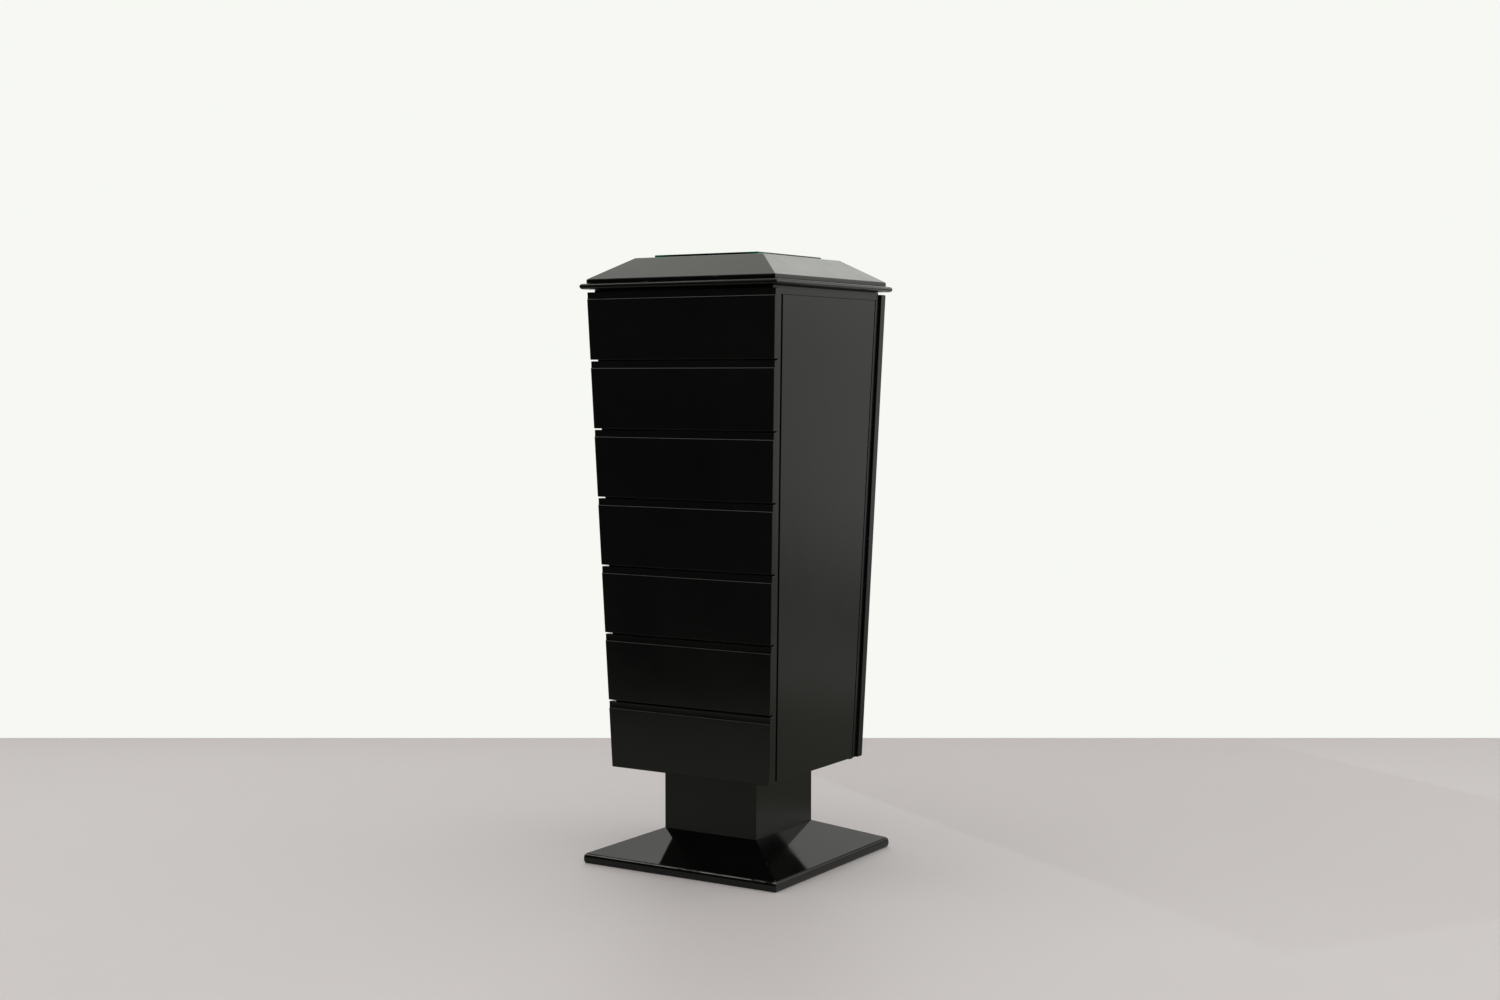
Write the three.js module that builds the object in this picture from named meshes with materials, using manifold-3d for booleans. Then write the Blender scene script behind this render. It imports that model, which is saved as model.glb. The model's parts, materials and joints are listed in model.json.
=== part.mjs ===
// Jewelry armoire: a tapered square chest of seven drawers on a square column and a hipped base, with a
// lift-up hipped lid over a tray and a tall door on each side over a shallow compartment for necklaces.
// Millimetres, +Z up, drawers opening towards -Y, origin on the floor under the middle of the base.
import * as THREE from "three";
import { mergeVertices } from "three/addons/utils/BufferGeometryUtils.js";
import Module from "manifold-3d";

// Base and column
const BASE_WIDTH = 475;
const BASE_PLATE = 19.5;
const BASE_NOSE = 3.5;
const HIP_RISE = 48.1;
const HIP_EDGE = 1;
const COLUMN_WIDTH = 227.6;
const COLUMN_HEIGHT = 135.9;
const COLUMN_BOARD = 15;
const CAP_BOARD = 16;

// Body
const BODY_HEIGHT = 998;
const BODY_TOP_WIDTH = 458.8;
const BODY_BOTTOM_WIDTH = 388.4;
const BOARD = 19;
const OVERHANG = 5;
const FRONT_STILE = 13;
const REAR_STILE = 15;
const WALL = 12;
const BOTTOM_BOARD = 15;
const TOP_BOARD = 12;
const SHELF = 9;

// Drawers, counted from the top
const DRAWERS = 7;
const FRONT_GAP = 3.2;
const FRONT_STANDOFF = 1;
const PULL_HEIGHT = 14;
const PULL_DEPTH = 2.4;
const PULL_LIP = 2;
const BOX_WALL = 9;
const BOX_FLOOR = 6;
const BOX_CLEAR = 1;
const BOX_HEADROOM = 22;
const BOX_BACK_SPACE = 12;

// Side doors
const DOOR = 15;
const FINGER_GAP = 6;
const FINGER_BEVEL = 6;
const DOOR_REVEAL = 0.7;
const DOOR_LIFT = 0.5;
const DOOR_REAR_BEVEL = 2;
const COMPARTMENT = 25;
const PIVOT_INSET = 3;
const PIVOT_RADIUS = 1.5;
const PIVOT_DEPTH = 12;
const PIVOT_PLATE = 1.5;
const PIVOT_PLATE_REACH = 42;
const PIVOT_PLATE_EDGE = 6;
const PIVOT_PLATE_LIP = 2.2;
const PIVOT_INTO_TOP = 9;
const CATCH_LEVEL = 480;
const CATCH_HEIGHT = 40;
const CATCH_WIDTH = 16;
const CATCH_DEPTH = 20;
const RAIL_DEPTH = 8;
const RAIL_HEIGHT = 18;
const RAIL_LENGTH = 250;
const RAIL_DROP = 55;
const HOOKS = 7;
const HOOK_RADIUS = 2;
const HOOK_CLEAR = 3;

// Neck, rim and tray under the lid
const NECK_HEIGHT = 6;
const NECK_INSET = 12;
const RIM_WIDTH = 480;
const RIM_THICK = 12;
const TRAY_DEPTH = 40;
const TRAY_WALL = 6;
const TRAY_FLOOR = 5;
const TRAY_BACK_SPACE = 10;

// Lid
const LID_WIDTH = 459.4;
const LID_SEAT = 0.5;
const BAND_HEIGHT = 8;
const BAND_WIDTH = 24;
const LID_RISE = 45.8;
const LID_FLAT_WIDTH = 313.4;
const LID_SHELL = 9;
const SLAB_WIDTH = 254.5;
const SLAB_THICK = 5.9;
const MIRROR_WIDTH = 290;
const MIRROR_THICK = 3;
const HINGE_LENGTH = 400;
const HINGE_KNUCKLES = 10;
const HINGE_LEAF = 1.4;
const HINGE_LEAF_WIDTH = 15;
const KNUCKLE_RADIUS = 3.2;
const HINGE_PIN_RADIUS = 1.2;

// Velvet inserts
const PAD = 3;
const TRAY_ROLLS = 16;
const DRAWER_ROLLS = 14;
const DIVIDER = 5;
const DIVIDER_HEIGHT = 28;

// Clearance between separate pieces, and how far shapes that are joined into one piece run into each other
const GAP = 0.3;
const OVERLAP = 1;

// Flat facets of a half round edge, of a roll's half round top, and of a round bar
const ARC_STEPS = 8;
const ROLL_STEPS = 3;
const ROUND_SIDES = 12;
const MERGE_WITHIN = 1e-4;

// Levels that follow from the sizes above
const HIP_TOP = BASE_PLATE + HIP_RISE;
const BODY_BOTTOM = HIP_TOP + COLUMN_HEIGHT;
const BODY_TOP = BODY_BOTTOM + BODY_HEIGHT;
const TOP_BOARD_BOTTOM = BODY_TOP - TOP_BOARD;
const RIM_BOTTOM = BODY_TOP + NECK_HEIGHT;
const RIM_TOP = RIM_BOTTOM + RIM_THICK;
const LID_BOTTOM = RIM_TOP + LID_SEAT;
const LID_SHOULDER = LID_BOTTOM + BAND_HEIGHT;
const LID_FLAT = LID_SHOULDER + LID_RISE;
const FRONT_PITCH = (BODY_HEIGHT + FRONT_GAP) / DRAWERS;
const TRAY_BOTTOM = TOP_BOARD_BOTTOM - GAP - TRAY_DEPTH;

// Half widths and insets that follow
const TAPER = (BODY_TOP_WIDTH - BODY_BOTTOM_WIDTH) / 2 / BODY_HEIGHT;
const CARCASE_INSET = BOARD + FRONT_STANDOFF;
const DOOR_INSET = CARCASE_INSET + FRONT_STILE + FINGER_GAP;
const BACK_INSET = BOARD + GAP;
const DOOR_REAR_INSET = BACK_INSET + REAR_STILE + DOOR_REVEAL;
const NARROWEST = Math.min(BODY_TOP_WIDTH, BODY_BOTTOM_WIDTH) / 2;
const WALL_OUTER = NARROWEST - OVERHANG - DOOR - GAP - COMPARTMENT;
const CAVITY = WALL_OUTER - WALL;
const TRAY_HALF_X = CAVITY - GAP;
const TRAY_HALF_Y = halfAt(TRAY_BOTTOM) - BOARD - TRAY_BACK_SPACE;

const lacquerGloss = new THREE.MeshStandardMaterial({ color: 0x0a0b0a, roughness: 0.08 });
const lacquerSatin = new THREE.MeshStandardMaterial({ color: 0x272825, roughness: 0.35 });
const stainedWood = new THREE.MeshStandardMaterial({ color: 0x3a2a20, roughness: 0.55 });
const velvet = new THREE.MeshStandardMaterial({ color: 0x4d1420, roughness: 0.95 });
const brass = new THREE.MeshStandardMaterial({ color: 0xb08d4f, roughness: 0.3, metalness: 1 });
const steel = new THREE.MeshStandardMaterial({ color: 0x9a9ca0, roughness: 0.35, metalness: 1 });
const blackSteel = new THREE.MeshStandardMaterial({ color: 0x1c1c1e, roughness: 0.45, metalness: 1 });
const blackGlass = new THREE.MeshStandardMaterial({ color: 0x0c1512, roughness: 0.03 });
const silvered = new THREE.MeshStandardMaterial({ color: 0xd8dadb, roughness: 0.02, metalness: 1 });

const wasm = await Module();
wasm.setup();

// Half the width of the tapered body at height z.
function halfAt(z) {
  return BODY_BOTTOM_WIDTH / 2 + (z - BODY_BOTTOM) * TAPER;
}

// Corners of a rectangle, counter-clockwise seen from above, whichever way round its sides are given.
function rect(xa, xb, ya, yb) {
  const [x0, x1] = [Math.min(xa, xb), Math.max(xa, xb)];
  const [y0, y1] = [Math.min(ya, yb), Math.max(ya, yb)];
  return [[x0, y0], [x1, y0], [x1, y1], [x0, y1]];
}

// Closed solid between two level outlines with the same number of corners, from z = 0 up to the height.
function loft(lower, upper, height) {
  const count = lower.length;
  const positions = [];
  lower.forEach(([x, y]) => positions.push(x, y, 0));
  upper.forEach(([x, y]) => positions.push(x, y, height));
  const index = [];
  const contour = lower.map(([x, y]) => new THREE.Vector2(x, y));
  for (const [a, b, c] of THREE.ShapeUtils.triangulateShape(contour, [])) {
    index.push(c, b, a, a + count, b + count, c + count);
  }
  for (let i = 0; i < count; i++) {
    const next = (i + 1) % count;
    index.push(i, next, next + count, i, next + count, i + count);
  }
  const geometry = new THREE.BufferGeometry();
  geometry.setAttribute("position", new THREE.Float32BufferAttribute(positions, 3));
  geometry.setIndex(index);
  return geometry;
}

// Board between two heights whose outline follows the body's taper: outline(half) gives its corners.
function tapered(bottom, top, outline) {
  return loft(outline(halfAt(bottom)), outline(halfAt(top)), top - bottom);
}

// Box with its lowest face at z = 0.
function box(xa, xb, ya, yb, height) {
  const corners = rect(xa, xb, ya, yb);
  return loft(corners, corners, height);
}

// Square piece swept round the Z axis: profile points are [half width, z], on the axis at both ends.
function squareTurned(profile) {
  const points = profile.map(([half, z]) => new THREE.Vector2(half * Math.SQRT2, z));
  return new THREE.LatheGeometry(points, 4).rotateY(Math.PI / 4).rotateX(Math.PI / 2);
}

// Points of a rounded edge between two heights that bulges out by nose, as [half width, z] from the bottom.
function noseProfile(half, nose, z0, z1) {
  const points = [];
  for (let i = 0; i <= ARC_STEPS; i++) {
    const angle = (i / ARC_STEPS - 0.5) * Math.PI;
    points.push([half - nose + nose * Math.cos(angle), (z0 + z1) / 2 + ((z1 - z0) / 2) * Math.sin(angle)]);
  }
  return points;
}

// Round bar between two points.
function rod(from, to, radius) {
  const span = new THREE.Vector3().subVectors(to, from);
  const up = new THREE.Vector3(0, 1, 0);
  const turn = new THREE.Quaternion().setFromUnitVectors(up, span.clone().normalize());
  const middle = new THREE.Vector3().addVectors(from, to).multiplyScalar(0.5);
  const geometry = new THREE.CylinderGeometry(radius, radius, span.length(), ROUND_SIDES);
  return geometry.applyQuaternion(turn).translate(middle.x, middle.y, middle.z);
}

// Solid for cutting and joining, from a closed geometry.
function toSolid(geometry) {
  const bare = new THREE.BufferGeometry();
  bare.setAttribute("position", geometry.getAttribute("position"));
  bare.setIndex(geometry.getIndex());
  const merged = mergeVertices(bare, MERGE_WITHIN);
  const vertProperties = new Float32Array(merged.getAttribute("position").array);
  const triVerts = new Uint32Array(merged.getIndex().array);
  return new wasm.Manifold(new wasm.Mesh({ numProp: 3, vertProperties, triVerts }));
}

function toGeometry(solid) {
  const { vertProperties, triVerts } = solid.getMesh();
  const geometry = new THREE.BufferGeometry();
  geometry.setAttribute("position", new THREE.BufferAttribute(vertProperties, 3));
  geometry.setIndex(new THREE.BufferAttribute(triVerts, 1));
  return geometry;
}

// One closed geometry from shapes that run into each other.
function join(...pieces) {
  return toGeometry(pieces.map(toSolid).reduce((a, b) => a.add(b)));
}

// The piece with each tool's shape taken out of it.
function cut(piece, ...tools) {
  return toGeometry(tools.map(toSolid).reduce((a, b) => a.subtract(b), toSolid(piece)));
}

// Adds a named piece to a group, with its own material, at a place in that group.
function place(group, name, geometry, material, x = 0, y = 0, z = 0) {
  const flat = geometry.getIndex() ? geometry.toNonIndexed() : geometry;
  flat.computeVertexNormals();
  const mesh = new THREE.Mesh(flat, material.clone());
  mesh.name = name;
  mesh.position.set(x, y, z);
  group.add(mesh);
}

const SIDES = [["left", -1], ["right", 1]];
const armoire = new THREE.Group();

// Bullnosed plate on the floor, and the hipped cover over it with a socket for the column.
function addBase() {
  const base = new THREE.Group();
  const half = BASE_WIDTH / 2;
  const nose = noseProfile(half, BASE_NOSE, 0, BASE_PLATE);
  place(base, "base_plate", squareTurned([[0, 0], ...nose, [0, BASE_PLATE]]), lacquerGloss);
  const foot = half - BASE_NOSE;
  const hip = squareTurned([
    [0, 0], [foot, 0], [foot, HIP_EDGE], [COLUMN_WIDTH / 2 + GAP, HIP_RISE - GAP], [0, HIP_RISE - GAP],
  ]);
  const socket = COLUMN_WIDTH / 2 + GAP;
  const hole = box(-socket, socket, -socket, socket, 2 * HIP_RISE).translate(0, 0, -HIP_RISE / 2);
  place(base, "base_hip", cut(hip, hole), lacquerGloss, 0, 0, BASE_PLATE + GAP);
  armoire.add(base);
}

// Four mitred boards stood on the plate, closed at the top by a cap inside them.
function addColumn() {
  const column = new THREE.Group();
  const half = COLUMN_WIDTH / 2;
  const inner = half - COLUMN_BOARD;
  const bottom = BASE_PLATE + GAP;
  const height = BODY_BOTTOM - GAP - bottom;
  const side = GAP / 2;
  const board = [
    [-half + side, -half], [half - side, -half], [inner - side, -inner], [-inner + side, -inner],
  ];
  const turned = [["front", 0], ["right", 1], ["back", 2], ["left", 3]];
  for (const [name, quarters] of turned) {
    const geometry = loft(board, board, height).rotateZ((quarters * Math.PI) / 2);
    place(column, "column_" + name, geometry, lacquerSatin, 0, 0, bottom);
  }
  const cap = inner - GAP;
  place(column, "column_cap", box(-cap, cap, -cap, cap, CAP_BOARD), stainedWood, 0, 0,
    BODY_BOTTOM - GAP - CAP_BOARD);
  armoire.add(column);
}

// Where the leaning pivot line of a side door passes height z.
function pivotAt(side, z) {
  const half = halfAt(z);
  return new THREE.Vector3(side * (half - OVERHANG - PIVOT_INSET), half - DOOR_REAR_INSET - PIVOT_INSET, z);
}

// Back slab, bottom board, stiles and inner walls, with the shelves that the drawers run on, and on each
// side the catch that stops the door and a rail of hooks in the compartment behind it.
function addCarcase() {
  const carcase = new THREE.Group();
  const low = halfAt(BODY_BOTTOM);

  const backPanel = tapered(BODY_BOTTOM, BODY_TOP, (half) => rect(-half, half, half - BOARD, half));
  place(carcase, "back_panel", backPanel, lacquerSatin, 0, 0, BODY_BOTTOM);

  const doorBack = low - OVERHANG - DOOR - GAP;
  const front = CARCASE_INSET + FRONT_STILE + GAP - low;
  const rear = low - BACK_INSET - REAR_STILE - GAP;
  const frontTongue = CAVITY - GAP;
  const bottomOutline = [
    [-doorBack, front], [-frontTongue, front], [-frontTongue, CARCASE_INSET - low],
    [frontTongue, CARCASE_INSET - low], [frontTongue, front], [doorBack, front],
    [doorBack, rear], [WALL_OUTER, rear], [WALL_OUTER, low - BACK_INSET],
    [-WALL_OUTER, low - BACK_INSET], [-WALL_OUTER, rear], [-doorBack, rear],
  ];
  const bottomBoard = loft(bottomOutline, bottomOutline, BOTTOM_BOARD);
  place(carcase, "bottom_board", bottomBoard, stainedWood, 0, 0, BODY_BOTTOM);

  const uprightTop = TOP_BOARD_BOTTOM - GAP;
  const wallBottom = BODY_BOTTOM + BOTTOM_BOARD + GAP;
  const outer = (half) => half - OVERHANG;
  for (const [name, side] of SIDES) {
    const frontStile = tapered(BODY_BOTTOM, uprightTop, (half) =>
      rect(side * CAVITY, side * outer(half), CARCASE_INSET - half, CARCASE_INSET + FRONT_STILE - half));
    place(carcase, "front_stile_" + name, frontStile, lacquerSatin, 0, 0, BODY_BOTTOM);

    const rearStile = tapered(BODY_BOTTOM, uprightTop, (half) =>
      rect(side * (WALL_OUTER + GAP), side * outer(half), half - BACK_INSET - REAR_STILE, half - BACK_INSET));
    place(carcase, "rear_stile_" + name, rearStile, lacquerSatin, 0, 0, BODY_BOTTOM);

    const wall = tapered(wallBottom, uprightTop, (half) =>
      rect(side * CAVITY, side * WALL_OUTER, CARCASE_INSET + FRONT_STILE + GAP - half, half - BACK_INSET));
    place(carcase, "inner_wall_" + name, wall, stainedWood, 0, 0, wallBottom);

    const catchBottom = BODY_BOTTOM + CATCH_LEVEL;
    const catchBlock = tapered(catchBottom, catchBottom + CATCH_HEIGHT, (half) => {
      const face = outer(half) - DOOR - GAP;
      const stileRear = CARCASE_INSET + FRONT_STILE + GAP - half;
      return rect(side * (face - CATCH_WIDTH), side * face, stileRear, stileRear + CATCH_DEPTH);
    });
    place(carcase, "door_catch_" + name, catchBlock, steel, 0, 0, catchBottom);

    const rail = box(0, side * RAIL_DEPTH, -RAIL_LENGTH / 2, RAIL_LENGTH / 2, RAIL_HEIGHT);
    const hooks = [];
    for (let i = 0; i < HOOKS; i++) {
      const y = ((i + 0.5) / HOOKS - 0.5) * RAIL_LENGTH;
      const root = new THREE.Vector3(side * (RAIL_DEPTH - OVERLAP), y, RAIL_HEIGHT / 2);
      const tip = new THREE.Vector3(side * (COMPARTMENT - HOOK_CLEAR), y, RAIL_HEIGHT);
      hooks.push(rod(root, tip, HOOK_RADIUS));
    }
    place(carcase, "hook_rail_" + name, join(rail, ...hooks), brass, side * (WALL_OUTER + GAP), 0,
      uprightTop - RAIL_DROP);
  }

  for (let i = 1; i < DRAWERS; i++) {
    const middle = BODY_TOP + FRONT_GAP / 2 - i * FRONT_PITCH;
    const bottom = middle - SHELF / 2;
    const shelf = tapered(bottom, bottom + SHELF, (half) =>
      rect(-CAVITY + GAP, CAVITY - GAP, CARCASE_INSET - half, half - BACK_INSET));
    place(carcase, "shelf_" + i, shelf, stainedWood, 0, 0, bottom);
  }
  armoire.add(carcase);
}

// Opening over the tray, shared by every board above it.
function trayOpening() {
  const x = TRAY_HALF_X - TRAY_WALL;
  const y = TRAY_HALF_Y - TRAY_WALL;
  const height = 2 * (RIM_TOP - TRAY_BOTTOM);
  return box(-x, x, -y, y, height).translate(0, 0, -height / 2);
}

// Tray, the board it drops through, the recessed neck and the bullnosed rim that the lid closes on.
function addTop() {
  const top = new THREE.Group();
  const x = TRAY_HALF_X;
  const y = TRAY_HALF_Y;
  const tub = box(-x, x, -y, y, TRAY_DEPTH);
  const tray = cut(tub, box(TRAY_WALL - x, x - TRAY_WALL, TRAY_WALL - y, y - TRAY_WALL, TRAY_DEPTH)
    .translate(0, 0, TRAY_FLOOR));
  place(top, "tray", tray, stainedWood, 0, 0, TRAY_BOTTOM);
  place(top, "tray_insert", ringRolls(x - TRAY_WALL - GAP, y - TRAY_WALL - GAP, TRAY_ROLLS), velvet,
    0, 0, TRAY_BOTTOM + TRAY_FLOOR + GAP);

  const topBoard = tapered(TOP_BOARD_BOTTOM, BODY_TOP, (half) =>
    rect(OVERHANG - half, half - OVERHANG, CARCASE_INSET - half, half - BACK_INSET));
  const bores = SIDES.map(([, side]) =>
    rod(pivotAt(side, TOP_BOARD_BOTTOM - GAP), pivotAt(side, TOP_BOARD_BOTTOM + PIVOT_INTO_TOP + GAP),
      PIVOT_RADIUS + GAP).translate(0, 0, -TOP_BOARD_BOTTOM));
  place(top, "top_board", cut(topBoard, trayOpening(), ...bores), lacquerSatin, 0, 0, TOP_BOARD_BOTTOM);

  const neck = BODY_TOP_WIDTH / 2 - NECK_INSET;
  const neckFrame = box(-neck, neck, -neck, neck, NECK_HEIGHT - 2 * GAP);
  place(top, "neck_frame", cut(neckFrame, trayOpening()), lacquerSatin, 0, 0, BODY_TOP + GAP);

  const rimHalf = RIM_WIDTH / 2;
  const edge = noseProfile(rimHalf, RIM_THICK / 2, 0, RIM_THICK);
  const rim = squareTurned([[0, 0], ...edge, [0, RIM_THICK]]);
  const axis = hingeAxis();
  const leafSeat = box(-HINGE_LENGTH / 2 - GAP, HINGE_LENGTH / 2 + GAP, axis.y - KNUCKLE_RADIUS
    - HINGE_LEAF_WIDTH - 2 * GAP, axis.y, RIM_THICK).translate(0, 0, RIM_THICK - HINGE_LEAF - 2 * GAP);
  const knuckleSeat = box(-HINGE_LENGTH / 2 - GAP, HINGE_LENGTH / 2 + GAP, axis.y - KNUCKLE_RADIUS - 2 * GAP,
    rimHalf + RIM_THICK, RIM_THICK).translate(0, 0, RIM_THICK - KNUCKLE_RADIUS - GAP);
  place(top, "rim_moulding", cut(rim, trayOpening(), leafSeat, knuckleSeat), lacquerGloss, 0, 0, RIM_BOTTOM);
  armoire.add(top);
}

// Ring rolls side by side along Y, with their flat underside at z = 0.
function ringRolls(halfX, halfY, rolls) {
  const radius = halfY / rolls;
  const outline = new THREE.Shape();
  outline.moveTo(-halfY, 0);
  outline.lineTo(halfY, 0);
  outline.lineTo(halfY, PAD);
  for (let i = rolls - 1; i >= 0; i--) {
    outline.absarc((2 * i + 1) * radius - halfY, PAD, radius, 0, Math.PI, false);
  }
  const options = { depth: 2 * halfX, bevelEnabled: false, curveSegments: ROLL_STEPS };
  const geometry = new THREE.ExtrudeGeometry(outline, options);
  return geometry.rotateX(Math.PI / 2).rotateZ(Math.PI / 2).translate(-halfX, 0, 0);
}

// Height and depth of the lid's hinge line, behind the lid and level with the joint under it.
function hingeAxis() {
  return { y: LID_WIDTH / 2 + KNUCKLE_RADIUS + GAP, z: (RIM_TOP + LID_BOTTOM) / 2 };
}

// Velvet floor pad with upright dividers that make cells by columns across and rows deep.
function cells(halfX, halfY, columns, rows) {
  const height = PAD + DIVIDER_HEIGHT;
  const pieces = [box(-halfX, halfX, -halfY, halfY, PAD)];
  for (let i = 1; i < columns; i++) {
    const x = ((2 * i) / columns - 1) * halfX;
    pieces.push(box(x - DIVIDER / 2, x + DIVIDER / 2, -halfY, halfY, height));
  }
  for (let i = 1; i < rows; i++) {
    const y = ((2 * i) / rows - 1) * halfY;
    pieces.push(box(-halfX, halfX, y - DIVIDER / 2, y + DIVIDER / 2, height));
  }
  return join(...pieces);
}

// What lines the three upper drawers: ring rolls, four cells and three cells; the others are left open.
const INSERTS = {
  1: (halfX, halfY) => ringRolls(halfX, halfY, DRAWER_ROLLS),
  2: (halfX, halfY) => cells(halfX, halfY, 2, 2),
  3: (halfX, halfY) => cells(halfX, halfY, 1, 3),
};

// Overlaid front with a rebate along its top edge for the fingers, the box behind it and its insert.
function addDrawer(number) {
  const drawer = new THREE.Group();
  const top = BODY_TOP - (number - 1) * FRONT_PITCH;
  const bottom = top - FRONT_PITCH + FRONT_GAP;
  const arris = top - PULL_HEIGHT;
  const face = tapered(bottom, arris, (half) => rect(-half, half, -half, BOARD - half));
  const low = halfAt(arris - OVERLAP);
  const high = halfAt(top);
  const strip = loft(rect(-low, low, PULL_DEPTH - low, BOARD - low),
    rect(-high, high, PULL_LIP - high, BOARD - high), PULL_HEIGHT + OVERLAP);
  const front = join(face, strip.translate(0, 0, arris - OVERLAP - bottom));
  place(drawer, `drawer_${number}_front`, front, lacquerGloss, 0, 0, bottom);

  const last = number === DRAWERS;
  const support = last ? BODY_BOTTOM + BOTTOM_BOARD : bottom - FRONT_GAP / 2 + SHELF / 2;
  const ceiling = number === 1 ? TRAY_BOTTOM : top + FRONT_GAP / 2 - SHELF / 2;
  const boxBottom = support + BOX_CLEAR;
  const boxTop = ceiling - BOX_HEADROOM;
  const halfX = CAVITY - BOX_CLEAR;
  const back = halfAt(boxBottom) - BOARD - BOX_BACK_SPACE;
  const shell = tapered(boxBottom, boxTop, (half) => rect(-halfX, halfX, BOARD + GAP - half, back));
  const floorTop = boxBottom + BOX_FLOOR;
  const inside = tapered(floorTop, boxTop + BOX_FLOOR, (half) =>
    rect(BOX_WALL - halfX, halfX - BOX_WALL, BOARD + GAP + BOX_WALL - half, back - BOX_WALL));
  const tub = cut(shell, inside.translate(0, 0, BOX_FLOOR));
  place(drawer, `drawer_${number}_box`, tub, stainedWood, 0, 0, boxBottom);

  if (INSERTS[number]) {
    const insideFront = BOARD + GAP + BOX_WALL - halfAt(floorTop) + GAP;
    const insideBack = back - BOX_WALL - GAP;
    const insert = INSERTS[number](halfX - BOX_WALL - GAP, (insideBack - insideFront) / 2);
    place(drawer, `drawer_${number}_insert`, insert, velvet, 0, (insideFront + insideBack) / 2,
      floorTop + GAP);
  }
  armoire.add(drawer);
}

// Level outline of a side door: square front edge bevelled inside, rear edge rounded about the pivot line.
function doorOutline(side, half) {
  const outer = half - OVERHANG;
  const inner = outer - DOOR;
  const front = DOOR_INSET - half;
  const rear = half - DOOR_REAR_INSET;
  const points = [[inner, front + FINGER_BEVEL], [inner + FINGER_BEVEL, front], [outer, front]];
  for (let i = 0; i <= ARC_STEPS; i++) {
    const angle = (i / ARC_STEPS) * (Math.PI / 2);
    points.push([outer - PIVOT_INSET * (1 - Math.cos(angle)), rear - PIVOT_INSET * (1 - Math.sin(angle))]);
  }
  points.push([inner + DOOR_REAR_BEVEL, rear], [inner, rear - DOOR_REAR_BEVEL]);
  return side > 0 ? points : points.map(([x, y]) => [-x, y]).reverse();
}

// Tall door turning on two pins: the lower on a plate under the body, the upper in the top board.
function addSideDoor(name, side) {
  const group = new THREE.Group();
  const bottom = BODY_BOTTOM + DOOR_LIFT;
  const top = TOP_BOARD_BOTTOM - DOOR_REVEAL;
  const blank = tapered(bottom, top, (half) => doorOutline(side, half));
  const bore = (from, to) =>
    rod(pivotAt(side, from), pivotAt(side, to), PIVOT_RADIUS + GAP).translate(0, 0, -bottom);
  const door = cut(blank, bore(bottom - GAP, bottom + PIVOT_DEPTH + GAP),
    bore(top - PIVOT_DEPTH - GAP, top + GAP));
  place(group, "side_door_" + name, door, lacquerSatin, 0, 0, bottom);

  const plateTop = BODY_BOTTOM - GAP;
  const pivot = pivotAt(side, plateTop);
  const plate = box(pivot.x - side * PIVOT_PLATE_REACH, pivot.x + side * PIVOT_PLATE_LIP,
    pivot.y - PIVOT_PLATE_EDGE, pivot.y + PIVOT_PLATE_EDGE, PIVOT_PLATE)
    .translate(0, 0, plateTop - PIVOT_PLATE);
  const lowPin = rod(pivotAt(side, plateTop - PIVOT_PLATE / 2), pivotAt(side, bottom + PIVOT_DEPTH),
    PIVOT_RADIUS);
  place(group, "door_pivot_bottom_" + name, join(plate, lowPin), blackSteel);
  const highPin = rod(pivotAt(side, top - PIVOT_DEPTH),
    pivotAt(side, TOP_BOARD_BOTTOM + PIVOT_INTO_TOP), PIVOT_RADIUS);
  place(group, "door_pivot_top_" + name, highPin, blackSteel);
  armoire.add(group);
}

// One leaf of the lid's long hinge about its own axis: level 1 for the lid's leaf, -1 for the rim's.
function hingeLeaf(level) {
  const rear = -KNUCKLE_RADIUS - GAP;
  const z0 = level > 0 ? LID_SEAT / 2 : -LID_SEAT / 2 - HINGE_LEAF;
  const step = HINGE_LENGTH / HINGE_KNUCKLES;
  const pieces = [box(-HINGE_LENGTH / 2, HINGE_LENGTH / 2, rear - HINGE_LEAF_WIDTH, rear, HINGE_LEAF)
    .translate(0, 0, z0)];
  for (let i = level > 0 ? 1 : 0; i < HINGE_KNUCKLES; i += 2) {
    const x0 = -HINGE_LENGTH / 2 + i * step + GAP / 2;
    const x1 = x0 + step - GAP;
    pieces.push(box(x0, x1, rear - HINGE_LEAF, 0, HINGE_LEAF).translate(0, 0, z0));
    pieces.push(rod(new THREE.Vector3(x0, 0, 0), new THREE.Vector3(x1, 0, 0), KNUCKLE_RADIUS));
  }
  const reach = new THREE.Vector3(HINGE_LENGTH, 0, 0);
  const bore = rod(reach.clone().negate(), reach, HINGE_PIN_RADIUS + GAP);
  return cut(join(...pieces), bore);
}

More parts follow.
